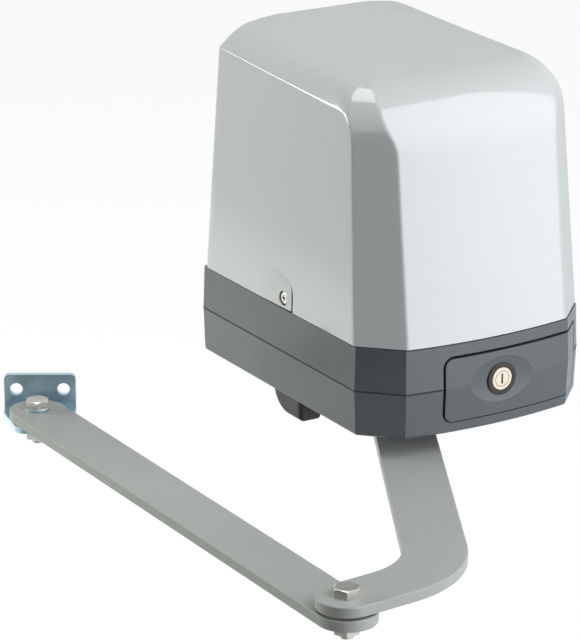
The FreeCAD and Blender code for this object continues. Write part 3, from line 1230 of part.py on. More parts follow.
def make_forearm():
    side = bar_side(FOREARM_WAY, FOREARM_WIDTH)
    heel = ELBOW - FOREARM_WAY * (FOREARM_WIDTH / 2)
    toe = GATE + FOREARM_WAY * (FOREARM_WIDTH / 2)
    corners = [point + UP * FOREARM_BOTTOM for point in (heel - side, toe - side, toe + side, heel + side)]
    bar = rounded_plate(corners, [FOREARM_WIDTH / 2 - BAR_EDGE / 4] * 4, FOREARM_THICKNESS)
    bar = eased(bar, BAR_EDGE, (FOREARM_BOTTOM, FOREARM_TOP))
    return bar.cut([cylinder(ARM_BOLT_RADIUS + RUNNING_FIT, FOREARM_THICKNESS, place + UP * FOREARM_BOTTOM)
                    for place in (ELBOW, GATE)])


ELBOW_NUT_TOP = FOREARM_BOTTOM - ARM_PLAY
GATE_HEAD_SEAT = FOREARM_TOP + ARM_PLAY + GATE_WASHER_THICKNESS
FLANGE_TOP = FOREARM_BOTTOM - ARM_PLAY - GATE_WASHER_THICKNESS
FLANGE_BOTTOM = FLANGE_TOP - BRACKET_THICKNESS


def make_gate_washers():
    low = GATE_WASHER_THICKNESS
    return Part.Compound([tube(ARM_WASHER_RADIUS, ARM_BOLT_RADIUS, low, GATE + UP * (GATE_HEAD_SEAT - low)),
                          tube(ARM_WASHER_RADIUS, ARM_BOLT_RADIUS, low, GATE + UP * FLANGE_TOP)])


def make_gate_bracket():
    """Bent angle: an upright plate with two fixing holes and a tapered flange under the forearm."""
    half = BRACKET_WIDTH / 2
    nose = BRACKET_NOSE_WIDTH / 2
    rear = BRACKET_REACH + BRACKET_THICKNESS
    outline = [Vector(-half, rear, FLANGE_BOTTOM), Vector(-half, BRACKET_REACH * 0.6, FLANGE_BOTTOM),
               Vector(-nose, -BRACKET_NOSE, FLANGE_BOTTOM), Vector(nose, -BRACKET_NOSE, FLANGE_BOTTOM),
               Vector(half, BRACKET_REACH * 0.6, FLANGE_BOTTOM), Vector(half, rear, FLANGE_BOTTOM)]
    flange = rounded_plate(outline, [0, 12, nose * 0.7, nose * 0.7, 12, 0], BRACKET_THICKNESS)
    face = [Vector(-half, BRACKET_REACH, FLANGE_BOTTOM), Vector(half, BRACKET_REACH, FLANGE_BOTTOM),
            Vector(half, BRACKET_REACH, BRACKET_TOP), Vector(-half, BRACKET_REACH, BRACKET_TOP)]
    plate = rounded_plate(face, [0, 0, BRACKET_CORNER, BRACKET_CORNER], BRACKET_THICKNESS, Vector(0, 1, 0))
    solid = one([flange, plate])
    bend = [edge for edge in solid.Edges if abs(edge.BoundBox.YMax - rear) < 1e-4 and
            abs(edge.BoundBox.ZMax - FLANGE_BOTTOM) < 1e-4 and edge.BoundBox.XLength > half]
    solid = solid.makeFillet(BRACKET_BEND, bend)
    holes = [cylinder(ARM_BOLT_RADIUS, BRACKET_THICKNESS, UP * FLANGE_BOTTOM)]
    for x in (-BRACKET_HOLE_SPACING / 2, BRACKET_HOLE_SPACING / 2):
        holes.append(cylinder(BRACKET_HOLE_RADIUS, BRACKET_THICKNESS,
                              Vector(x, BRACKET_REACH, BRACKET_TOP - BRACKET_HOLE_DROP), Vector(0, 1, 0)))
    solid = solid.cut(holes)
    solid.rotate(Vector(), UP, BRACKET_TURN)
    solid.translate(GATE)
    return solid


# Travel stops
def make_stop(sign):
    """Block under the base's edge with a flat striking face, a round rear toe and two bolt pockets."""
    low = -LOWER_HEIGHT - STOP_HEIGHT
    front = SHAFT_Y
    x0 = min(sign * STOP_INNER, sign * (STOP_INNER + STOP_WIDTH))
    rear = front + STOP_LENGTH
    corners = [Vector(x0, front, -LOWER_HEIGHT), Vector(x0, front, low), Vector(x0, rear, low),
               Vector(x0, rear, -LOWER_HEIGHT)]
    solid = rounded_plate(corners, [0, STOP_FRONT_EDGE, STOP_ROUND, 0], STOP_WIDTH, Vector(1, 0, 0))
    sides = [edge for edge in solid.Edges if edge.BoundBox.XLength < SIDE_PLAY and
             edge.BoundBox.YMin > front + SIDE_PLAY and edge.BoundBox.ZMin < low + SIDE_PLAY]
    solid = solid.makeFillet(STOP_EDGE, sides)
    cuts = []
    for place in stop_bolt_places():
        if place.x * sign > 0:
            foot = Vector(place.x, place.y, low)
            cuts.append(cylinder(STOP_BOLT_RADIUS + SIDE_PLAY, STOP_HEIGHT, foot))
            cuts.append(cylinder(STOP_BOLT_HEAD_RADIUS + SIDE_PLAY, STOP_BOLT_HEAD_HEIGHT * 2, foot))
    return solid.cut(cuts)


def make_stop_bolts():
    seat = -LOWER_HEIGHT - STOP_HEIGHT + STOP_BOLT_HEAD_HEIGHT * 2
    tip = FLOOR_TOP - SIDE_PLAY
    bolts = []
    for place in stop_bolt_places():
        head = cylinder(STOP_BOLT_HEAD_RADIUS, STOP_BOLT_HEAD_HEIGHT, place + UP * (seat - STOP_BOLT_HEAD_HEIGHT))
        socket = hexagon(STOP_BOLT_RADIUS * 1.6, STOP_BOLT_RADIUS, place + UP * (seat - STOP_BOLT_HEAD_HEIGHT))
        shank = cylinder(STOP_BOLT_RADIUS, tip - seat, place + UP * seat)
        bolts.append(head.cut(socket).fuse(shank).removeSplitter())
    return Part.Compound(bolts)


# Equipment inside the hood
def make_equipment_plate():
    """Bent sheet that stands on the gearbox lid and carries the control board."""
    upright = block(PLATE_LEFT, PLATE_RIGHT, PLATE_FRONT, PLATE_FRONT + PLATE_THICKNESS, LID_TOP,
                    LID_TOP + PLATE_HEIGHT)
    foot = block(PLATE_LEFT, PLATE_RIGHT, PLATE_FRONT, PLATE_FRONT + PLATE_FOOT, LID_TOP, LID_TOP + PLATE_THICKNESS)
    return one([upright, foot])


def board_corners():
    xs = (PLATE_LEFT + BOARD_MARGIN + POST_INSET, PLATE_RIGHT - BOARD_MARGIN - POST_INSET)
    zs = (BOARD_BOTTOM + POST_INSET, LID_TOP + PLATE_HEIGHT - BOARD_MARGIN - POST_INSET)
    return [Vector(x, PLATE_FRONT, z) for x in xs for z in zs]


BOARD_REAR = PLATE_FRONT - POST_LENGTH
BOARD_FACE = BOARD_REAR - BOARD_THICKNESS


def make_control_board():
    return block(PLATE_LEFT + BOARD_MARGIN, PLATE_RIGHT - BOARD_MARGIN, BOARD_FACE, BOARD_REAR, BOARD_BOTTOM,
                 LID_TOP + PLATE_HEIGHT - BOARD_MARGIN)


def make_board_posts():
    return Part.Compound([cylinder(POST_RADIUS, POST_LENGTH, place, Vector(0, -1, 0)) for place in board_corners()])


def make_board_parts():
    """Terminal strip, relays and a smoothing capacitor on the board's face."""
    left = PLATE_LEFT + BOARD_MARGIN + POST_INSET * 2
    right = PLATE_RIGHT - BOARD_MARGIN
    low = BOARD_BOTTOM + TERMINAL_RISE
    pieces = []
    for k in range(int((right - left) / TERMINAL_PITCH)):
        x = left + TERMINAL_PITCH * k
        terminal = block(x, x + TERMINAL_WIDTH, BOARD_FACE - TERMINAL_DEPTH, BOARD_FACE, low, low + TERMINAL_HEIGHT)
        screw = Vector(x + TERMINAL_WIDTH / 2, BOARD_FACE - TERMINAL_DEPTH, low + TERMINAL_HEIGHT / 2)
        pieces.append(terminal.cut(cylinder(TERMINAL_SCREW_RADIUS, TERMINAL_DEPTH / 2, screw, Vector(0, 1, 0))))
    for k in range(3):
        x = left + RELAY_PITCH * k
        z = BOARD_BOTTOM + RELAY_RISE
        pieces.append(block(x, x + RELAY_WIDTH, BOARD_FACE - RELAY_DEPTH, BOARD_FACE, z, z + RELAY_HEIGHT))
    place = Vector(right - CAPACITOR_LENGTH, BOARD_FACE, BOARD_BOTTOM + CAPACITOR_RISE)
    pieces.append(cylinder(CAPACITOR_RADIUS, CAPACITOR_LENGTH, place, Vector(0, -1, 0)))
    return Part.Compound(pieces)


def make_transformer():
    """Laminated core with its coil standing out at the front and rear."""
    x0 = TRANSFORMER_LEFT
    x1 = x0 + TRANSFORMER_WIDTH
    y0 = TRANSFORMER_FRONT
    y1 = y0 + TRANSFORMER_DEPTH
    core = block(x0, x1, y0 + COIL_OVERHANG, y1 - COIL_OVERHANG, LID_TOP, LID_TOP + TRANSFORMER_HEIGHT)
    side = TRANSFORMER_WIDTH / 6
    coil = rounded_block(x0 + side, x1 - side, y0, y1, LID_TOP + side, LID_TOP + TRANSFORMER_HEIGHT - side, 4)
    return one([core, coil])


def make_backup_batteries():
    cells = []
    for k in range(2):
        x0 = CASE_LEFT + BATTERY_GAP + (BATTERY_WIDTH + BATTERY_GAP) * k
        y1 = CASE_REAR - BATTERY_GAP
        case = block(x0, x0 + BATTERY_WIDTH, y1 - BATTERY_LENGTH, y1, WORM_HOUSING_TOP,
                     WORM_HOUSING_TOP + BATTERY_HEIGHT)
        lid_edges = [edge for edge in case.Edges if edge.BoundBox.ZMin > WORM_HOUSING_TOP + BATTERY_HEIGHT / 2]
        cells.append(case.makeFillet(BATTERY_GAP, lid_edges))
    return Part.Compound(cells)


def make_cable_gland():
    """Threaded neck through the floor, hexagon collar and domed compression nut below it."""
    place = Vector(GLAND_X, GLAND_Y, -LOWER_HEIGHT)
    collar = GLAND_NUT_HEIGHT
    neck = cylinder(GLAND_RADIUS - SIDE_PLAY, BASE_FLOOR + GLAND_NUT_HEIGHT + 1, place)
    flats = hexagon(GLAND_ACROSS, collar, place - UP * collar)
    dome = Part.makeCone(GLAND_BORE + 2, GLAND_RADIUS, GLAND_LENGTH - collar, place - UP * GLAND_LENGTH)
    bore = cylinder(GLAND_BORE, GLAND_LENGTH * 3, place - UP * GLAND_LENGTH)
    return one([neck, flats, dome]).cut(bore)


# Build and write every piece
def all_pieces():
    pinion = Vector(PINION_X, PINION_Y, 0)
    seal_low = -LOWER_HEIGHT - SHAFT_BOSS_HEIGHT
    boss_low = CASE_TOP - LID_BOSS
    elbow_tip = ELBOW_NUT_TOP - ARM_NUT_HEIGHT - ARM_BOLT_SPARE
    gate_tip = FLANGE_BOTTOM - ARM_NUT_HEIGHT - ARM_BOLT_SPARE
    gland_nut = Vector(GLAND_X, GLAND_Y, 0)
    stop_nuts = [make_nut(STOP_NUT_ACROSS, STOP_BOLT_RADIUS, FLOOR_TOP, BASE_FLOOR, place)
                 for place in stop_bolt_places()]
    return {
        "base_lower": make_base_lower(),
        "base_upper": make_base_upper(),
        "base_gasket": gasket_ring(),
        "base_screws": make_base_screws(),
        "hood": make_hood(),
        "hood_screws": make_hood_screws(),
        "release_door": make_release_door(),
        "door_pins": make_door_pins(),
        "lock_bezel": make_lock_bezel(),
        "lock_cylinder": make_lock_cylinder(),
        "lock_cam": make_lock_cam(),
        "release_knob": make_release_knob(),
        "release_spindle": make_release_spindle(),
        "shaft_flange": make_shaft_flange(),
        "output_shaft": make_output_shaft(),
        "output_gear": make_output_gear(),
        "output_bush_lower": make_bush(OUTPUT_SHAFT_RADIUS, seal_low + SEAL_HEIGHT, CASE_FLOOR_TOP, SHAFT),
        "output_bush_upper": make_bush(OUTPUT_SHAFT_RADIUS, boss_low, LID_TOP, SHAFT),
        "shaft_seal": tube(OUTPUT_SHAFT_RADIUS + SEAL_WALL, OUTPUT_SHAFT_RADIUS + RUNNING_FIT, SEAL_HEIGHT,
                           SHAFT + UP * seal_low),
        "pinion_shaft": make_pinion_shaft(),
        "pinion_bush_lower": make_bush(PINION_SHAFT_RADIUS, FLOOR_TOP, CASE_FLOOR_TOP, pinion),
        "pinion_bush_upper": make_bush(PINION_SHAFT_RADIUS, boss_low, LID_TOP, pinion),
        "worm_wheel": make_worm_wheel(),
        "worm_shaft": make_worm_shaft(),
        "worm_bearing": make_worm_bearing(),
        "motor_rotor": make_motor_rotor(),
        "motor_body": make_motor_body(),
        "motor_cap": make_motor_cap(),
        "gearbox_case": make_gearbox_case(),
        "gearbox_lid": make_gearbox_lid(),
        "gearbox_screws": make_gearbox_screws(),
        "worm_housing": make_worm_housing(),
        "crank_arm": make_crank_arm(),
        "crank_washer": make_crank_washer(),
        "crank_bolt": make_crank_bolt(),
        "elbow_bolt": hex_bolt(ARM_BOLT_ACROSS, ARM_BOLT_HEAD, ARM_BOLT_RADIUS, CRANK_TOP, elbow_tip, ELBOW),
        "elbow_washer": tube(ARM_WASHER_RADIUS, ARM_BOLT_RADIUS, ELBOW_WASHER_THICKNESS,
                             ELBOW + UP * (CRANK_BOTTOM - ELBOW_WASHER_THICKNESS)),
        "elbow_nut": make_nut(ARM_BOLT_ACROSS, ARM_BOLT_RADIUS, ELBOW_NUT_TOP, ARM_NUT_HEIGHT, ELBOW),
        "forearm": make_forearm(),
        "gate_bolt": hex_bolt(ARM_BOLT_ACROSS, ARM_BOLT_HEAD, ARM_BOLT_RADIUS, GATE_HEAD_SEAT, gate_tip, GATE),
        "gate_washers": make_gate_washers(),
        "gate_nut": make_nut(ARM_BOLT_ACROSS, ARM_BOLT_RADIUS, FLANGE_BOTTOM, ARM_NUT_HEIGHT, GATE),
        "gate_bracket": make_gate_bracket(),
        "stop_left": make_stop(-1),
        "stop_right": make_stop(1),
        "stop_bolts": make_stop_bolts(),
        "stop_nuts": Part.Compound(stop_nuts),
        "equipment_plate": make_equipment_plate(),
        "control_board": make_control_board(),
        "board_posts": make_board_posts(),
        "board_parts": make_board_parts(),
        "transformer": make_transformer(),
        "backup_batteries": make_backup_batteries(),
        "cable_gland": make_cable_gland(),
        "gland_nut": make_nut(GLAND_NUT_ACROSS, GLAND_RADIUS, FLOOR_TOP + GLAND_NUT_HEIGHT, GLAND_NUT_HEIGHT,
                              gland_nut),
    }


os.makedirs("parts", exist_ok=True)
for piece_name, piece_shape in all_pieces().items():
    save(piece_name, piece_shape)
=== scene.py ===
import math

import bmesh
import bpy
import numpy as np
from mathutils import Matrix, Vector


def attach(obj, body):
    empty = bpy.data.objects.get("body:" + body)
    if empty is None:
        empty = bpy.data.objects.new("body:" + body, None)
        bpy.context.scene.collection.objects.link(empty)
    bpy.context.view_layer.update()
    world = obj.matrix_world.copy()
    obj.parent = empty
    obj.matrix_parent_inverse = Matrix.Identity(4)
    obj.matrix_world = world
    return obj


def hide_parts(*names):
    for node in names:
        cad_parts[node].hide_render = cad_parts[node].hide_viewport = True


# Stage: the operator hangs in a white studio, seen from above its left front corner. The camera is a long
# lens far away, so upright edges stay almost parallel. Four softboxes out of the picture light it.
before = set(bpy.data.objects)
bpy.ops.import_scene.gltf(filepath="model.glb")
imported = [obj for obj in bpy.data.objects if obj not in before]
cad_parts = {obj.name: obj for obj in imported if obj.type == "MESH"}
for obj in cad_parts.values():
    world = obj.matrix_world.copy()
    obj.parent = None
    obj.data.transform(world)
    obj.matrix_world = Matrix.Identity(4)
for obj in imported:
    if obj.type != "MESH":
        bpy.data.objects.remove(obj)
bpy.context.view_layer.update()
scene = bpy.context.scene
scene.view_settings.view_transform = "Standard"

CAMERA_PLACE = Vector((-1.3460, -2.2031, 0.8607))
CAMERA_RIGHT = Vector((0.8566, -0.5161, 0.0))
CAMERA_UP = Vector((0.1682, 0.2792, 0.9455))
CAMERA_BACK = Vector((-0.4879, -0.8098, 0.3259))
CAMERA_LENS = 190.7
CAMERA_SENSOR = 36.0
CAMERA_SIGHT = 20.0
BODY_MIDDLE = (0.0, -0.13, 0.08)
ROOM_TINT = (0.93, 0.96, 1.0)
ROOM_STRENGTH = 0.04
WHITE = (1.0, 1.0, 1.0)

camera_data = bpy.data.cameras.new("studio_camera")
camera_data.lens = CAMERA_LENS
camera_data.sensor_width = CAMERA_SENSOR
camera_data.clip_end = CAMERA_SIGHT
camera = bpy.data.objects.new("studio_camera", camera_data)
scene.collection.objects.link(camera)
camera_turn = Matrix((CAMERA_RIGHT, CAMERA_UP, CAMERA_BACK)).transposed()
camera.matrix_world = Matrix.Translation(CAMERA_PLACE) @ camera_turn.to_4x4()
scene.camera = camera


def softbox(name, place, target, size, watts, colour=WHITE):
    """Rectangle of light at a place, facing a target point, out of the camera's sight."""
    light = bpy.data.lights.new(name, "AREA")
    light.shape = "RECTANGLE"
    light.size, light.size_y = size
    light.energy = watts
    light.color = colour
    box = bpy.data.objects.new(name, light)
    box.location = place
    box.rotation_euler = (Vector(target) - Vector(place)).to_track_quat("-Z", "Y").to_euler()
    box.visible_camera = False
    scene.collection.objects.link(box)


softbox("left_softbox", place=(-1.78, 1.42, 0.45), target=BODY_MIDDLE, size=(1.4, 0.65), watts=31.0,
        colour=(0.95, 1.0, 0.93))
softbox("low_softbox", place=(-0.72, 1.45, -0.50), target=(-0.72, 1.46, 1.0), size=(0.9, 1.3), watts=3.0,
        colour=(1.0, 1.0, 0.98))
softbox("front_softbox", place=(0.608, -1.478, 0.70), target=(-0.052, -0.335, -0.005), size=(2.0, 2.8),
        watts=41.0, colour=(0.955, 0.978, 1.0))
softbox("top_softbox", place=(-0.30, 0.22, 2.25), target=(-0.08, -0.24, 0.2), size=(1.2, 0.7), watts=9.5)


def math_node(tree, kind, first, second=0.0):
    """Math node of two operands, each a socket or a number."""
    node = tree.nodes.new("ShaderNodeMath")
    node.operation = kind
    for slot, value in enumerate((first, second)):
        if isinstance(value, (int, float)):
            node.inputs[slot].default_value = value
        else:
            tree.links.new(value, node.inputs[slot])
    return node.outputs["Value"]


def plain_shader(tree, kind, colour, strength=None):
    """Shader of one colour, and of a strength where it gives light."""
    node = tree.nodes.new(kind)
    node.inputs["Color"].default_value = (*colour, 1.0)
    if strength is not None:
        node.inputs["Strength"].default_value = strength
    return node.outputs[0]


def show_by_ray(tree, output, lighting, sight):
    """One shader for the rays that carry light, and another for the rays that show it to the eye: those from
    the camera, and those that glossy metal or glass mirrors or lets through."""
    ray = tree.nodes.new("ShaderNodeLightPath").outputs
    mirrored = math_node(tree, "MAXIMUM", ray["Is Glossy Ray"], ray["Is Transmission Ray"])
    mix = tree.nodes.new("ShaderNodeMixShader")
    tree.links.new(math_node(tree, "MAXIMUM", ray["Is Camera Ray"], mirrored), mix.inputs["Fac"])
    tree.links.new(lighting, mix.inputs[1])
    tree.links.new(sight, mix.inputs[2])
    tree.links.new(mix.outputs["Shader"], tree.nodes.new(output).inputs["Surface"])


room = bpy.data.worlds.new("white_room")
scene.world = room
room.use_nodes = True
room.node_tree.nodes.clear()
show_by_ray(room.node_tree, "ShaderNodeOutputWorld",
            plain_shader(room.node_tree, "ShaderNodeBackground", ROOM_TINT, ROOM_STRENGTH),
            plain_shader(room.node_tree, "ShaderNodeBackground", WHITE, 1.0))

# Floor: a white painted board well below the hanging arm. It looks nearly white by itself, so that it merges
# with the room, and it still takes the operator's soft shadow and sends light back up under the base.
FLOOR_DROP = 0.55
FLOOR_HALF = 6.0
FLOOR_GREY = (0.35, 0.35, 0.35)
FLOOR_SHADE = (0.16, 0.16, 0.16)
FLOOR_GLOW = 0.93


def mesh_piece(name, points, faces, smooth=True):
    """Object at the origin with its place in its mesh: points as an array of n by 3, faces as lists."""
    mesh = bpy.data.meshes.new(name)
    mesh.from_pydata(points.tolist(), [], faces)
    mesh.polygons.foreach_set("use_smooth", np.full(len(mesh.polygons), smooth))
    mesh.update()
    piece = bpy.data.objects.new(name, mesh)
    scene.collection.objects.link(piece)
    return piece


def flat_board(name, middle, across, up):
    """Four corners, each the middle plus or minus two half edges, joined by one face."""
    across = np.array(across)
    up = np.array(up)
    corners = np.array(middle) + np.array((-across - up, across - up, across + up, up - across))
    return mesh_piece(name, corners, [(0, 1, 2, 3)])


floor = flat_board("studio_floor", (0.0, 0.0, -FLOOR_DROP), (FLOOR_HALF, 0.0, 0.0), (0.0, FLOOR_HALF, 0.0))
floor_paint = bpy.data.materials.new("floor_paint")
floor_paint.use_nodes = True
floor_tree = floor_paint.node_tree
floor_tree.nodes.clear()
floor_glow = plain_shader(floor_tree, "ShaderNodeEmission", WHITE, FLOOR_GLOW)
floor_shade = plain_shader(floor_tree, "ShaderNodeBsdfDiffuse", FLOOR_SHADE)
floor_white = floor_tree.nodes.new("ShaderNodeAddShader")
floor_tree.links.new(floor_glow, floor_white.inputs[0])
floor_tree.links.new(floor_shade, floor_white.inputs[1])
show_by_ray(floor_tree, "ShaderNodeOutputMaterial",
            plain_shader(floor_tree, "ShaderNodeBsdfDiffuse", FLOOR_GREY), floor_white.outputs["Shader"])
floor.data.materials.append(floor_paint)

# Dark card: a board covered with black felt that stands out of the picture at the left, so that the hood's
# chamfer mirrors it and reads darker than the faces beside it.
CARD_MIDDLE = (-0.84, -0.70, 0.0)
CARD_ACROSS = (0.34, -0.55, 0.0)
CARD_UP = (0.0, 0.0, 0.42)
FELT_BLACK = (0.02, 0.02, 0.02, 1.0)

card = flat_board("dark_card", CARD_MIDDLE, CARD_ACROSS, CARD_UP)
card_felt = bpy.data.materials.new("card_felt")
card_felt.use_nodes = True
felt_shader = card_felt.node_tree.nodes["Principled BSDF"]
felt_shader.inputs["Base Color"].default_value = FELT_BLACK
felt_shader.inputs["Roughness"].default_value = 1.0
card.data.materials.append(card_felt)
card.visible_camera = False

# Hood: a cover moulded in plastic and sprayed with silver paint under a satin clear coat. Its walls lean in,
# the bowed front and the chamfered front corners roll into the roof, and the roof's shoulders fall to a fine
# ridge along the sides. It sits over the base with a small gap.
MM = 0.001

# Plan of the hood's foot in millimetres, and how far each wall leans in per millimetre of height.
HOOD_BASE = 33.5
HOOD_HALF = 99.3
SIDE_DRAFT = 0.034
CORNER_REACH = 228.8
CORNER_DRAFT = 0.088
BOW_RADIUS = 400.0
BOW_AXIS_Y = 141.0
BOW_DRAFT = 0.118
HOOD_REAR = -3.7
REAR_DRAFT = 0.061

# Roof: the height of its middle over the output shaft, its slope, and how its shoulders fall to the sides.
ROOF_MIDDLE_Z = 226.7
ROOF_SLOPE = 0.049
ROOF_DROP = 18.5
SHAFT_Y = -127.0
CREASE_HALF = 41.0
CREASE_SPREAD = 0.174
CREASE_START_Y = -17.0
CREASE_INSET = 16.0
SHOULDER_LINEAR = 0.12
SHOULDER_CUBIC = 0.88
SHOULDER_END = 1.1

# Rounding of the edges, and how widely the creases between the rolls and the shoulders are eased.
EDGE_ROUND = 0.8
REAR_ROUND = 6.0
RIDGE_ROUND = 0.3
NOSE_ROUND = 46.0
CORNER_ROUND = 36.0
CORNER_ROUND_FALL = 0.154
CORNER_ROUND_LIMITS = (28.0, 42.0)
CORNER_MIDDLE = 89.0
EDGE_FADE = 14.0
RIDGE_BLEND = 4.0
EASE_LEAST = 1.0
EASE_SHOULDER = 3.0
EASE_SHOULDER_SHARE = 0.4
EASE_FLAT = 1.0
EASE_FLAT_SHARE = 0.2
LEAST_WIDTH = 1e-6

# Wall, gap over the base, and the grid of rays from the hood's core that finds the surface.
HOOD_WALL = 3.0
JOINT_GAP = 0.8
HOOD_CORE = np.array((0.0, -128.0, 120.0))
RAY_LENGTH = 400.0
RAY_HALVINGS = 40
EDGE_SIDE = np.array((1.0, -1.0, -1.0, -1.0, 1.0, 1.0))
EDGE_AT_REAR = np.array((True, True, False, False, False, False))
EDGE_AT_BOW = np.array((False, False, False, True, True, False))
EDGE_COUNT = len(EDGE_SIDE)
EDGE_COLUMNS = 44
WALL_ROWS = 16
BELOW_RIDGE_ROWS = 44
BELOW_RIDGE_CROWD = 1.7
ABOVE_RIDGE_ROWS = 54
ABOVE_RIDGE_CROWD = 1.8
RIDGE_GUESS_Z = 205.0
RIDGE_ROUNDS = 8

# Finish: the slants over which a satin coat fades, and the detail and spans of the noises.
SATIN_SLANT = (0.5, 0.85)
NOISE_ROUGHNESS = 0.55
CLOUD_DETAIL = 4.0
GRAIN_DETAIL = 2.0
CLOUD_SPAN = (0.35, 0.7)
GRAIN_SPAN = (0.35, 0.65)
SWING_SPAN = (0.3, 0.7)


def effect_group(name, inputs, outputs):
    """Empty shader group with named sockets, each given with its kind."""
    group = bpy.data.node_groups.new(name, "ShaderNodeTree")
    for way, sockets in (("INPUT", inputs), ("OUTPUT", outputs)):
        for socket, kind in sockets:
            group.interface.new_socket(socket, in_out=way, socket_type=kind)
    return group, group.nodes.new("NodeGroupInput"), group.nodes.new("NodeGroupOutput")


def noise(tree, place, scale, detail):
    """Noise over a place, with its scale per metre from a socket."""
    node = tree.nodes.new("ShaderNodeTexNoise")
    node.inputs["Detail"].default_value = detail
    node.inputs["Roughness"].default_value = NOISE_ROUGHNESS
    tree.links.new(place, node.inputs["Vector"])
    tree.links.new(scale, node.inputs["Scale"])
    return node.outputs["Fac"]


def ranged(tree, value, span, ends):
    """Value carried from one span to another and held at its ends."""
    node = tree.nodes.new("ShaderNodeMapRange")
    tree.links.new(value, node.inputs["Value"])
    node.inputs["From Min"].default_value, node.inputs["From Max"].default_value = span
    node.inputs["To Min"].default_value, node.inputs["To Max"].default_value = ends
    return node.outputs["Result"]


def make_mottle_group():
    """Colour mixed towards a darker one by slow clouds and fine grain added together; the clouds also swing
    the roughness up and down, and the grain gives a height."""
    group, given, result = effect_group("mottle", [
        ("Colour", "NodeSocketColor"), ("Dark", "NodeSocketColor"),
        ("Cloud Scale", "NodeSocketFloat"), ("Grain Scale", "NodeSocketFloat"),
        ("Cloud Amount", "NodeSocketFloat"), ("Grain Amount", "NodeSocketFloat"),
        ("Roughness", "NodeSocketFloat"), ("Roughness Swing", "NodeSocketFloat")], [
        ("Colour", "NodeSocketColor"), ("Roughness", "NodeSocketFloat"), ("Height", "NodeSocketFloat")])
    take = given.outputs
    place = group.nodes.new("ShaderNodeTexCoord").outputs["Object"]
    cloud = noise(group, place, take["Cloud Scale"], CLOUD_DETAIL)
    grain = noise(group, place, take["Grain Scale"], GRAIN_DETAIL)
    cloud_mask = ranged(group, cloud, CLOUD_SPAN, (0.0, 1.0))
    grain_mask = ranged(group, grain, GRAIN_SPAN, (0.0, 1.0))
    swing_mask = ranged(group, cloud, SWING_SPAN, (-1.0, 1.0))
    cloudy = math_node(group, "MULTIPLY", cloud_mask, take["Cloud Amount"])
    grainy = math_node(group, "MULTIPLY", grain_mask, take["Grain Amount"])
    swing = math_node(group, "MULTIPLY", swing_mask, take["Roughness Swing"])
    blend = group.nodes.new("ShaderNodeMix")
    blend.data_type = "RGBA"
    group.links.new(math_node(group, "ADD", cloudy, grainy), blend.inputs["Factor"])
    group.links.new(take["Colour"], blend.inputs["A"])
    group.links.new(take["Dark"], blend.inputs["B"])
    group.links.new(blend.outputs["Result"], result.inputs["Colour"])
    group.links.new(math_node(group, "ADD", take["Roughness"], swing), result.inputs["Roughness"])
    group.links.new(grain, result.inputs["Height"])
    return group


MOTTLE = make_mottle_group()


def finish_material(name, colour, dark, cloud=14.0, grain=900.0, cloud_amount=0.3, grain_amount=0.15,
                    roughness=0.4, swing=0.06, metallic=0.0, coat=0.0, coat_roughness=0.1, coat_ior=1.5,
                    satin=False, bump=0.15, depth=0.0001):
    """Principled material whose colour, roughness and bump come from the mottle group. A satin coat loses
    its gloss where the surface is seen at a slant."""
    material = bpy.data.materials.new(name)
    material.use_nodes = True
    tree = material.node_tree
    mottle = tree.nodes.new("ShaderNodeGroup")
    mottle.node_tree = MOTTLE
    for socket, value in (("Colour", (*colour, 1.0)), ("Dark", (*dark, 1.0)),
                          ("Cloud Scale", cloud), ("Grain Scale", grain),
                          ("Cloud Amount", cloud_amount), ("Grain Amount", grain_amount),
                          ("Roughness", roughness), ("Roughness Swing", swing)):
        mottle.inputs[socket].default_value = value
    shader = tree.nodes["Principled BSDF"]
    for socket, value in (("Metallic", metallic), ("Coat Weight", coat), ("Coat Roughness", coat_roughness),
                          ("Coat IOR", coat_ior)):
        shader.inputs[socket].default_value = value
    if satin:
        slant = tree.nodes.new("ShaderNodeLayerWeight").outputs["Facing"]
        tree.links.new(ranged(tree, slant, SATIN_SLANT, (coat, 0.0)), shader.inputs["Coat Weight"])
    relief = tree.nodes.new("ShaderNodeBump")
    relief.inputs["Strength"].default_value = bump
    relief.inputs["Distance"].default_value = depth
    tree.links.new(mottle.outputs["Colour"], shader.inputs["Base Color"])
    tree.links.new(mottle.outputs["Roughness"], shader.inputs["Roughness"])
    tree.links.new(mottle.outputs["Height"], relief.inputs["Height"])
    tree.links.new(relief.outputs["Normal"], shader.inputs["Normal"])
    return material


def rounded(first, second, radius):
    """Meeting of two walls given by their distances, its edge rounded by a radius, as an exact distance."""
    outside = np.hypot(np.maximum(first + radius, 0.0), np.maximum(second + radius, 0.0))
    return np.minimum(np.maximum(first, second), -radius) + outside


def softer(first, second, width):
    """The larger of two distances, with the crease between them eased over a width by a parabola."""
    overlap = np.maximum(width - np.abs(first - second), 0.0)
    return np.maximum(first, second) + overlap ** 2 / (4.0 * np.maximum(width, LEAST_WIDTH))


def hood_plan(z):
    """Plan at a height: half width, reach of the chamfers, radius of the bow and rear, each drawn in by its
    draft times the height over the hood's foot."""
    rise = z - HOOD_BASE
    return (HOOD_HALF - SIDE_DRAFT * rise, CORNER_REACH - CORNER_DRAFT * rise, BOW_RADIUS - BOW_DRAFT * rise,
            HOOD_REAR - REAR_DRAFT * rise)


def hood_walls(x, y, z):
    """Distances to the upright walls: drafted sides, 45 degree chamfers, bowed front, leaning rear."""
    half, corner, bow, rear = hood_plan(z)
    return (np.abs(x) - half, (np.abs(x) - y) * math.sqrt(0.5) - corner,
            np.hypot(x, y - BOW_AXIS_Y) - bow, y - rear)


def hood_wall(x, y, z):
    """Distance to the nearest upright wall, their meeting edges rounded."""
    side, chamfer, front, rear = hood_walls(x, y, z)
    return rounded(rounded(rounded(side, chamfer, EDGE_ROUND), front, EDGE_ROUND), rear, REAR_ROUND)


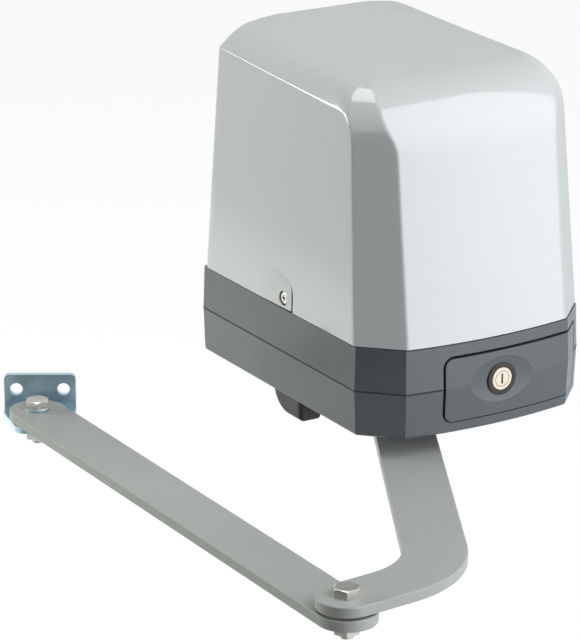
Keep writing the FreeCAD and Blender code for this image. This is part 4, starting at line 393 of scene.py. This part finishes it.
def hood_roof(x, y):
    """Roof: a flat middle that widens to the front, and shoulders that fall by a linear and a cubic share of
    the way to the side. Gives the middle's height, the roof's height, its slope and that share."""
    middle = ROOF_MIDDLE_Z + ROOF_SLOPE * (y - SHAFT_Y)
    half = hood_plan(middle - ROOF_DROP)[0]
    crease = np.minimum(CREASE_HALF + CREASE_SPREAD * (CREASE_START_Y - y), half - CREASE_INSET)
    share = np.clip((np.abs(x) - crease) / (half - crease), 0.0, SHOULDER_END)
    fall = ROOF_DROP * (SHOULDER_LINEAR * share + SHOULDER_CUBIC * share ** 3)
    steep = ROOF_DROP * (SHOULDER_LINEAR + 3.0 * SHOULDER_CUBIC * share ** 2) / (half - crease)
    return middle, middle - fall, np.where(share > 0.0, steep, 0.0), share


def hood_distance(x, y, z):
    """Distance to the whole hood: the front and the chamfers roll into the flat of the roof, each by its own
    radius, the sides meet the shoulders in a tight ridge, and the creases between these are eased."""
    middle, roof_z, slope, share = hood_roof(x, y)
    flat = z - middle
    shoulder = (z - roof_z) / np.sqrt(1.0 + slope ** 2)
    side, chamfer, front, rear = hood_walls(x, y, z)
    along = (-np.abs(x) - y) * math.sqrt(0.5)
    corner_round = np.clip(CORNER_ROUND - CORNER_ROUND_FALL * (along - CORNER_MIDDLE), *CORNER_ROUND_LIMITS)
    under_roof = np.clip(-flat / EDGE_FADE, 0.0, 1.0)
    rolls = rounded(rounded(chamfer, flat, corner_round), rounded(front, flat, NOSE_ROUND),
                    EDGE_ROUND * under_roof)
    sides = rounded(side, shoulder, RIDGE_ROUND)
    on_roof = np.clip((shoulder - side) / RIDGE_BLEND + 0.5, 0.0, 1.0)
    eased = (EASE_SHOULDER * np.clip(share / EASE_SHOULDER_SHARE, 0.0, 1.0)
             - EASE_FLAT * np.clip(1.0 - share / EASE_FLAT_SHARE, 0.0, 1.0))
    form = softer(rolls, sides, EASE_LEAST + eased * on_roof)
    return rounded(form, rear, RIDGE_ROUND + (REAR_ROUND - RIDGE_ROUND) * under_roof)


def reach(distance, start, ways):
    """How far each ray from the start runs before the distance turns positive, found by halving."""
    near = np.zeros(ways.shape[:-1])
    far = np.full(ways.shape[:-1], RAY_LENGTH)
    for _ in range(RAY_HALVINGS):
        half = (near + far) / 2
        points = start + ways * half[..., None]
        inside = distance(points[..., 0], points[..., 1], points[..., 2]) < 0.0
        near = np.where(inside, half, near)
        far = np.where(inside, far, half)
    return (near + far) / 2


def ray_ways(angles, climbs):
    """Unit directions by plan angle and by climb above the level."""
    flat = np.cos(climbs)
    return np.stack([np.cos(angles) * flat, np.sin(angles) * flat, np.sin(climbs)], axis=-1)


def level_cut(angles, heights):
    """Points where level rays from the hood's upright axis meet its walls."""
    starts = np.stack([np.full_like(angles, HOOD_CORE[0]), np.full_like(angles, HOOD_CORE[1]),
                       np.broadcast_to(heights, angles.shape)], axis=-1)
    ways = ray_ways(angles, np.zeros_like(angles))
    return starts + ways * reach(hood_wall, starts, ways)[..., None]


def wall_corners(z):
    """Plan angles of the six upright edges, each at its own height, counted from the right rear. The bow's
    ends are where its circle crosses the chamfer's line."""
    half, corner, bow, rear = hood_plan(z)
    diagonal = math.sqrt(2.0) * corner
    across = diagonal + BOW_AXIS_Y
    bow_end = (across - np.sqrt(2.0 * bow ** 2 - across ** 2)) / 2
    x = np.where(EDGE_AT_BOW, bow_end, half) * EDGE_SIDE
    y = np.where(EDGE_AT_REAR, rear, np.abs(x) - diagonal)
    return np.arctan2(y - HOOD_CORE[1], x - HOOD_CORE[0])


def edge_columns(angles):
    """Plan angles all round for each row of edge angles, crowded by a cosine towards every edge."""
    first = np.mod(angles, 2 * math.pi)
    following = np.concatenate([first[:, 1:], first[:, :1] + 2 * math.pi], axis=1)
    share = (1.0 - np.cos(np.linspace(0.0, math.pi, EDGE_COLUMNS, endpoint=False))) / 2
    spread = first[:, :, None] + (following - first)[:, :, None] * share[None, None, :]
    return spread.reshape(len(angles), -1)


def grid_faces(rows, columns):
    """Quads between neighbouring rows of a grid that is joined round."""
    row = np.arange(rows - 1)[:, None] * columns
    column = np.arange(columns)[None, :]
    after = (column + 1) % columns
    quads = np.stack([row + column, row + after, row + columns + after, row + columns + column], axis=-1)
    return quads.reshape(-1, 4).tolist()


def wall_rows():
    """Level rows up the walls, their columns kept to the upright edges."""
    heights = np.linspace(HOOD_BASE + JOINT_GAP, HOOD_CORE[2], WALL_ROWS, endpoint=False)[:, None]
    return level_cut(edge_columns(wall_corners(np.repeat(heights, EDGE_COUNT, axis=1))), heights)


def ridge_line():
    """Line where the walls meet the roof, found by going to and fro between the two: its plan angles, its
    way out from the core and its climb above it."""
    edge_z = np.full((1, EDGE_COUNT), RIDGE_GUESS_Z)
    ridge_z = np.full((1, EDGE_COUNT * EDGE_COLUMNS), RIDGE_GUESS_Z)
    for _ in range(RIDGE_ROUNDS):
        angles = edge_columns(wall_corners(edge_z))
        points = level_cut(angles, ridge_z)
        ridge_z = hood_roof(points[..., 0], points[..., 1])[1]
        edge_z = ridge_z[:, ::EDGE_COLUMNS]
    out = np.hypot(points[..., 0] - HOOD_CORE[0], points[..., 1] - HOOD_CORE[1])
    return angles, out, np.arctan2(ridge_z - HOOD_CORE[2], out)


def upper_rows():
    """Rows of rays from the core that climb to the ridge and then to the middle of the roof, crowded at the
    ridge by a power of the row's share."""
    ridge_angles, out, ridge_climb = ridge_line()
    below_share = np.linspace(0.0, 1.0, BELOW_RIDGE_ROWS, endpoint=False)[:, None]
    above_share = np.linspace(0.0, 1.0, ABOVE_RIDGE_ROWS, endpoint=False)[:, None]
    below = ridge_climb * (1.0 - (1.0 - below_share) ** BELOW_RIDGE_CROWD)
    above = ridge_climb + (math.pi / 2 - ridge_climb) * above_share ** ABOVE_RIDGE_CROWD
    edge_z = HOOD_CORE[2] + (out * np.tan(below))[:, ::EDGE_COLUMNS]
    angles = np.concatenate([edge_columns(wall_corners(edge_z)),
                             np.repeat(ridge_angles, ABOVE_RIDGE_ROWS, axis=0)])
    ways = ray_ways(angles, np.concatenate([below, above]))
    return HOOD_CORE + ways * reach(hood_distance, HOOD_CORE, ways)[..., None]


def hood_surface():
    """Rows up the walls and over the roof as one grid, closed by a fan at the middle of the roof."""
    points = np.concatenate([wall_rows(), upper_rows()])
    rows, count = points.shape[:2]
    top = np.array([(HOOD_CORE[0], HOOD_CORE[1], hood_roof(HOOD_CORE[0], HOOD_CORE[1])[0])])
    last = (rows - 1) * count + np.arange(count)
    fan = np.stack([last, np.roll(last, -1), np.full(count, rows * count)], axis=-1)
    return np.concatenate([points.reshape(-1, 3), top]) * MM, grid_faces(rows, count) + fan.tolist()


hood_skin = mesh_piece("hood_skin", *hood_surface())
hood_shell = hood_skin.modifiers.new("wall", "SOLIDIFY")
hood_shell.thickness = HOOD_WALL * MM
hood_shell.offset = -1.0
silver_paint = finish_material("silver_paint", colour=(0.63, 0.65, 0.648), dark=(0.56, 0.58, 0.578),
                               cloud=6.0, grain=2200.0, cloud_amount=0.25, grain_amount=0.3, roughness=0.5,
                               swing=0.04, coat=1.0, coat_ior=1.65, satin=True, bump=0.08, depth=0.00008)
hood_skin.data.materials.append(silver_paint)

# Screw tongues: a sloping relief moulded into the hood's lower edge on each side, deepest at the front,
# where a curved slit frees a tongue that the hood screw clamps to the base. The screw's head sits in a hole.
POCKET_Y = -122.0
POCKET_RADIUS = 15.5
POCKET_STEP_Z = 46.0
POCKET_REAR_Y = -90.0
POCKET_DEEPEST = 1.2
POCKET_SLOPE_Y = 0.025
POCKET_SLOPE_Z = 0.004
POCKET_MOUTH = 104.0
POCKET_FOOT = HOOD_BASE - POCKET_RADIUS
POCKET_FRONT = POCKET_Y - POCKET_RADIUS
SLIT_WIDTH = 3.9
SLIT_TURN = 1.05
HEAD_HOLE_Z = 41.5
HEAD_HOLE_RADIUS = 5.7
HEAD_HOLE_BACK = 92.0
POCKET_POINTS = 17
SLIT_POINTS = 13
HEAD_HOLE_POINTS = 40
SHARP_EDGE = math.radians(40.0)


def pocket_outline():
    """Relief's outline in y and z: an upright step in front, a quarter circle over it, a level top edge."""
    corner = np.linspace(math.pi, math.pi / 2, POCKET_POINTS)
    y = np.concatenate([[POCKET_FRONT], POCKET_Y + POCKET_RADIUS * np.cos(corner), [POCKET_REAR_Y] * 2])
    z = np.concatenate([[POCKET_FOOT], POCKET_STEP_Z + POCKET_RADIUS * np.sin(corner),
                        [POCKET_STEP_Z + POCKET_RADIUS, POCKET_FOOT]])
    return y, z


def slit_outline():
    """Slit's outline in y and z: upright, then along the step's arc, while its width fades to nothing."""
    arc = math.pi - np.linspace(0.0, SLIT_TURN, SLIT_POINTS)
    y = np.concatenate([[POCKET_FRONT], POCKET_Y + POCKET_RADIUS * np.cos(arc)])
    z = np.concatenate([[POCKET_FOOT], POCKET_STEP_Z + POCKET_RADIUS * np.sin(arc)])
    share = np.clip((z - POCKET_STEP_Z) / (z[-1] - POCKET_STEP_Z), 0.0, 1.0)
    inner = y + SLIT_WIDTH * (1.0 - share ** 2)
    return np.concatenate([y, inner[-2::-1]]), np.concatenate([z, z[-2::-1]])


def hole_outline():
    """Head hole's outline in y and z: a circle."""
    turn = np.linspace(0.0, 2 * math.pi, HEAD_HOLE_POINTS, endpoint=False)
    return POCKET_Y + HEAD_HOLE_RADIUS * np.cos(turn), HEAD_HOLE_Z + HEAD_HOLE_RADIUS * np.sin(turn)


def sloping_floor(y, z):
    """Half width of the relief's floor: the drafted wall less a depth that fades to the rear and upwards."""
    depth = POCKET_DEEPEST - POCKET_SLOPE_Y * (y - POCKET_FRONT) - POCKET_SLOPE_Z * (z - HOOD_BASE)
    return hood_plan(z)[0] - depth


def through_wall(y, z):
    """Half width well behind the wall, the same all over."""
    return np.full_like(y, HEAD_HOLE_BACK)


def side_prisms(name, outline, inner_width):
    """Solid on each side of the hood with an outline in y and z, from inner half widths to past the wall."""
    y, z = outline()
    inner = inner_width(y, z)
    outer = np.full_like(y, POCKET_MOUTH)
    points = np.concatenate([np.stack([x, y, z], axis=-1) for x in (inner, outer, -inner, -outer)])
    count = len(y)
    ring = np.arange(count)
    after = np.roll(ring, -1)
    right = np.stack([ring, after, count + after, count + ring], axis=-1)
    left = 2 * count + np.stack([after, ring, count + ring, count + after], axis=-1)
    ends = np.stack([ring[::-1], count + ring, 2 * count + ring, 3 * count + ring[::-1]])
    prism = mesh_piece(name, points * MM, right.tolist() + left.tolist() + ends.tolist(), smooth=False)
    shape = bmesh.new()
    shape.from_mesh(prism.data)
    bmesh.ops.recalc_face_normals(shape, faces=shape.faces)
    shape.to_mesh(prism.data)
    shape.free()
    return prism


def cut_out(piece, tools):
    """Piece less its cutting tools, with its modifiers made real and its sharp edges marked."""
    for tool in tools:
        cut = piece.modifiers.new(tool.name, "BOOLEAN")
        cut.operation = "DIFFERENCE"
        cut.solver = "EXACT"
        cut.object = tool
    shape = bpy.data.meshes.new_from_object(piece.evaluated_get(bpy.context.evaluated_depsgraph_get()))
    piece.modifiers.clear()
    piece.data = shape
    shape.set_sharp_from_angle(angle=SHARP_EDGE)
    for tool in tools:
        bpy.data.objects.remove(tool)


cut_out(hood_skin, (side_prisms("pocket_rooms", pocket_outline, sloping_floor),
                    side_prisms("head_holes", hole_outline, through_wall),
                    side_prisms("tongue_slits", slit_outline, through_wall)))
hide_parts("hood")
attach(hood_skin, "housing")


# Base: two halves moulded in slate grey plastic with a fine spark-eroded texture, screwed together at the
# widest level. The release door in its front is moulded in the same plastic and turns on two pins.
def dress(material, *names):
    """CAD nodes take a material."""
    for name in names:
        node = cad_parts[name]
        node.data.materials.clear()
        node.data.materials.append(material)


slate_plastic = finish_material("slate_plastic", colour=(0.115, 0.13, 0.14), dark=(0.09, 0.10, 0.108),
                                cloud=9.0, grain=1500.0, cloud_amount=0.35, grain_amount=0.35,
                                roughness=0.32, swing=0.05, bump=0.25, depth=0.00012)
dress(slate_plastic, "base_lower", "base_upper", "release_door")

# Black pieces: lock ring, travel stops, release knob and cable gland, moulded in black nylon with a dull
# grain. The stops are bolted under the base, and the gland is held by its nut.
black_nylon = finish_material("black_nylon", colour=(0.016, 0.014, 0.013), dark=(0.009, 0.008, 0.008),
                              cloud=25.0, grain=1300.0, roughness=0.5, bump=0.3, depth=0.00015)
dress(black_nylon, "lock_bezel", "stop_left", "stop_right", "release_knob", "cable_gland", "gland_nut")

# Seals: the cord that lies between the halves of the base and the lip seal round the output shaft, both
# moulded in black rubber and held by being squeezed.
rubber = finish_material("black_rubber", colour=(0.025, 0.025, 0.025), dark=(0.015, 0.015, 0.015),
                         roughness=0.75)
dress(rubber, "base_gasket", "shaft_seal")

# Parting strip: the lip of the sealing cord squeezed between the two halves of the base, drawn as a black
# rubber strip that is both the cord's edge and painted shade of the groove between the halves. It shows as a
# thin dark line round the widest level, from one end of the door round the back to the other.
BASE_HALF = 100.0
BASE_BOW_AXIS_Y = 139.375
BASE_CORNER_X = 72.5
BASE_SIDE_Y = -226.5
BASE_REAR_CORNER = 4.0
DOOR_GAP_LEFT = -42.6
DOOR_GAP_RIGHT = (91.5, -235.0)
STRIP_IN = -0.6
STRIP_OUT = 0.12
STRIP_HALF = 0.6
STRIP_BOW_POINTS = 12
STRIP_CORNER_POINTS = 9


def parting_path():
    """Plan of the strip: along the bow, the left chamfer and side, the rear and the right side."""
    x = np.linspace(DOOR_GAP_LEFT, -BASE_CORNER_X, STRIP_BOW_POINTS)
    bow = np.stack([x, BASE_BOW_AXIS_Y - np.sqrt(BOW_RADIUS ** 2 - x ** 2)], axis=-1)
    quarter = np.linspace(0.0, math.pi / 2, STRIP_CORNER_POINTS)
    inner = BASE_HALF - BASE_REAR_CORNER
    left = np.stack([-inner - BASE_REAR_CORNER * np.cos(quarter),
                     BASE_REAR_CORNER * np.sin(quarter) - BASE_REAR_CORNER], axis=-1)
    right = np.stack([inner + BASE_REAR_CORNER * np.sin(quarter),
                      BASE_REAR_CORNER * np.cos(quarter) - BASE_REAR_CORNER], axis=-1)
    return np.concatenate([bow, [(-BASE_HALF, BASE_SIDE_Y)], left, right,
                           [(BASE_HALF, BASE_SIDE_Y), DOOR_GAP_RIGHT]])


def strip_surface():
    """A rectangle of outward and upward offsets carried along the path, mitred at corners, ends closed."""
    path = parting_path()
    profile = np.array(((STRIP_IN, -STRIP_HALF), (STRIP_OUT, -STRIP_HALF),
                        (STRIP_OUT, STRIP_HALF), (STRIP_IN, STRIP_HALF)))
    run = np.diff(path, axis=0)
    normal = np.stack([-run[:, 1], run[:, 0]], axis=-1) / np.linalg.norm(run, axis=1)[:, None]
    before = np.concatenate([normal[:1], normal])
    after = np.concatenate([normal, normal[-1:]])
    mitre = (before + after) / (1.0 + np.sum(before * after, axis=1))[:, None]
    plan = path[:, None, :] + mitre[:, None, :] * profile[None, :, :1]
    level = np.broadcast_to(profile[None, :, 1:], (*plan.shape[:2], 1))
    points = np.concatenate([plan, level], axis=-1).reshape(-1, 3)
    ring = np.arange(len(profile))
    ends = [ring[::-1].tolist(), (len(points) - len(profile) + ring).tolist()]
    return points * MM, grid_faces(len(path), len(profile)) + ends


# Black strip: the cord's edge and painted shade of the parting groove.
parting_shade_strip = mesh_piece("parting_shade_strip", *strip_surface(), smooth=False)
parting_shade_strip.data.materials.append(rubber)
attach(parting_shade_strip, "housing")

# Arms: the bent crank and the straight forearm, cut by laser from steel bar and painted satin light grey.
# The crank is bolted on the output shaft, and the forearm pivots on a bolt at the crank's tip.
arm_paint = finish_material("arm_paint", colour=(0.48, 0.495, 0.47), dark=(0.405, 0.42, 0.40), cloud=10.0,
                            grain=1700.0, grain_amount=0.25, roughness=0.45)
dress(arm_paint, "crank_arm", "forearm")

# Bracket and washers: pressed from steel sheet and plated with zinc, which has the blue tint and the cloudy
# crystals of a passivated bath. The bracket is screwed to the gate.
zinc = finish_material("blue_zinc", colour=(0.48, 0.63, 0.71), dark=(0.35, 0.48, 0.57), cloud=60.0,
                       grain=700.0, cloud_amount=0.6, metallic=0.9, roughness=0.36, swing=0.1)
dress(zinc, "gate_bracket", "crank_washer", "gate_washers")

# Bolts, nuts, screws and small turned pieces: steel plated with bright zinc, a little uneven where tools and
# fingers have handled it.
bright_zinc = finish_material("bright_zinc", colour=(0.56, 0.55, 0.52), dark=(0.32, 0.31, 0.29), cloud=90.0,
                              metallic=1.0, roughness=0.3, swing=0.1)
dress(bright_zinc, "base_screws", "hood_screws", "gearbox_screws", "crank_bolt", "elbow_bolt",
      "elbow_washer", "elbow_nut", "gate_bolt", "gate_nut", "stop_bolts", "stop_nuts", "door_pins",
      "lock_cam", "release_spindle")

# Lock cylinder: brass turned and nickel-plated, which leaves a warm tint, and held in the door by the black
# ring. Its plug has a painted shadow round its rim and painted shade along a fine turned groove, both found
# by the distance from its axis.
LOCK_X = 0.0085
LOCK_PLUG = (0.0087, 0.0089)
LOCK_GROOVE = 0.0060
LOCK_GROOVE_FADE = (0.00015, 0.0004)
# Strength of the painted shade in the groove, and the colour of the painted shadow round the plug's rim and
# in the groove.
LOCK_GROOVE_SHADE = 0.75
LOCK_SHADOW = (0.05, 0.047, 0.042, 1.0)

nickel = finish_material("warm_nickel", colour=(0.62, 0.56, 0.47), dark=(0.48, 0.43, 0.35), cloud=120.0,
                         grain=1200.0, metallic=1.0, roughness=0.32)
dress(nickel, "lock_cylinder")
face_tree = nickel.node_tree
face_place = face_tree.nodes.new("ShaderNodeSeparateXYZ")
face_tree.links.new(face_tree.nodes.new("ShaderNodeTexCoord").outputs["Object"], face_place.inputs["Vector"])
face_x = math_node(face_tree, "SUBTRACT", face_place.outputs["X"], LOCK_X)
face_z = face_place.outputs["Z"]
face_square = math_node(face_tree, "ADD", math_node(face_tree, "MULTIPLY", face_x, face_x),
                        math_node(face_tree, "MULTIPLY", face_z, face_z))
face_radius = math_node(face_tree, "POWER", face_square, 0.5)
# Masks of painted shade: a painted shadow outside the plug's rim and painted shade along the turned groove.
rim_shadow_mask = ranged(face_tree, face_radius, LOCK_PLUG, (0.0, 1.0))
groove_away = math_node(face_tree, "ABSOLUTE", math_node(face_tree, "SUBTRACT", face_radius, LOCK_GROOVE))
groove_shade_mask = ranged(face_tree, groove_away, LOCK_GROOVE_FADE, (LOCK_GROOVE_SHADE, 0.0))
face_shade_mix = face_tree.nodes.new("ShaderNodeMix")
face_shade_mix.data_type = "RGBA"
face_shade_mix.inputs["B"].default_value = LOCK_SHADOW
face_colour = face_tree.nodes["Principled BSDF"].inputs["Base Color"]
# The painted shadow and the painted shade are mixed over the nickel's own colour.
face_tree.links.new(math_node(face_tree, "MAXIMUM", rim_shadow_mask, groove_shade_mask), face_shade_mix.inputs["Factor"])
face_tree.links.new(face_colour.links[0].from_socket, face_shade_mix.inputs["A"])
face_tree.links.new(face_shade_mix.outputs["Result"], face_colour)

# Gear train and motor, inside: hobbed steel gears and shafts, a bronze worm wheel, bronze bushes pressed
# into a case cast in aluminium with a grainy skin, and a motor in a steel can painted black.
gear_steel = finish_material("gear_steel", colour=(0.50, 0.50, 0.51), dark=(0.36, 0.36, 0.37), cloud=50.0,
                             grain=1000.0, metallic=1.0, roughness=0.3)
dress(gear_steel, "output_shaft", "output_gear", "pinion_shaft", "worm_shaft", "worm_bearing")
bronze = finish_material("bronze", colour=(0.62, 0.40, 0.17), dark=(0.45, 0.28, 0.11), cloud=50.0,
                         metallic=1.0, roughness=0.36)
dress(bronze, "worm_wheel", "output_bush_lower", "output_bush_upper", "pinion_bush_lower",
      "pinion_bush_upper")
cast_aluminium = finish_material("cast_aluminium", colour=(0.55, 0.56, 0.57), dark=(0.42, 0.43, 0.44),
                                 cloud=40.0, grain=1100.0, metallic=0.8, roughness=0.55, bump=0.5,
                                 depth=0.0003)
dress(cast_aluminium, "gearbox_case", "gearbox_lid", "worm_housing", "motor_cap", "shaft_flange")
motor_paint = finish_material("motor_paint", colour=(0.03, 0.03, 0.034), dark=(0.015, 0.015, 0.018))
dress(motor_paint, "motor_body", "motor_rotor")

# Control equipment, inside: a zinc-plated sheet that carries the green circuit board on posts, the board's
# plastic parts, a varnished transformer and the backup batteries in black cases.
sheet_zinc = finish_material("sheet_zinc", colour=(0.55, 0.57, 0.60), dark=(0.42, 0.44, 0.47), cloud=45.0,
                             cloud_amount=0.7, metallic=0.9, roughness=0.38)
dress(sheet_zinc, "equipment_plate", "board_posts")
solder_mask = finish_material("solder_mask", colour=(0.02, 0.16, 0.06), dark=(0.01, 0.10, 0.035),
                              roughness=0.35)
dress(solder_mask, "control_board")
part_plastic = finish_material("part_plastic", colour=(0.03, 0.06, 0.16), dark=(0.015, 0.03, 0.09),
                               roughness=0.45)
dress(part_plastic, "board_parts")
core_varnish = finish_material("core_varnish", colour=(0.10, 0.06, 0.035), dark=(0.05, 0.03, 0.02),
                               roughness=0.45)
dress(core_varnish, "transformer")
cell_case = finish_material("cell_case", colour=(0.05, 0.05, 0.055), dark=(0.03, 0.03, 0.033), roughness=0.5)
dress(cell_case, "backup_batteries")
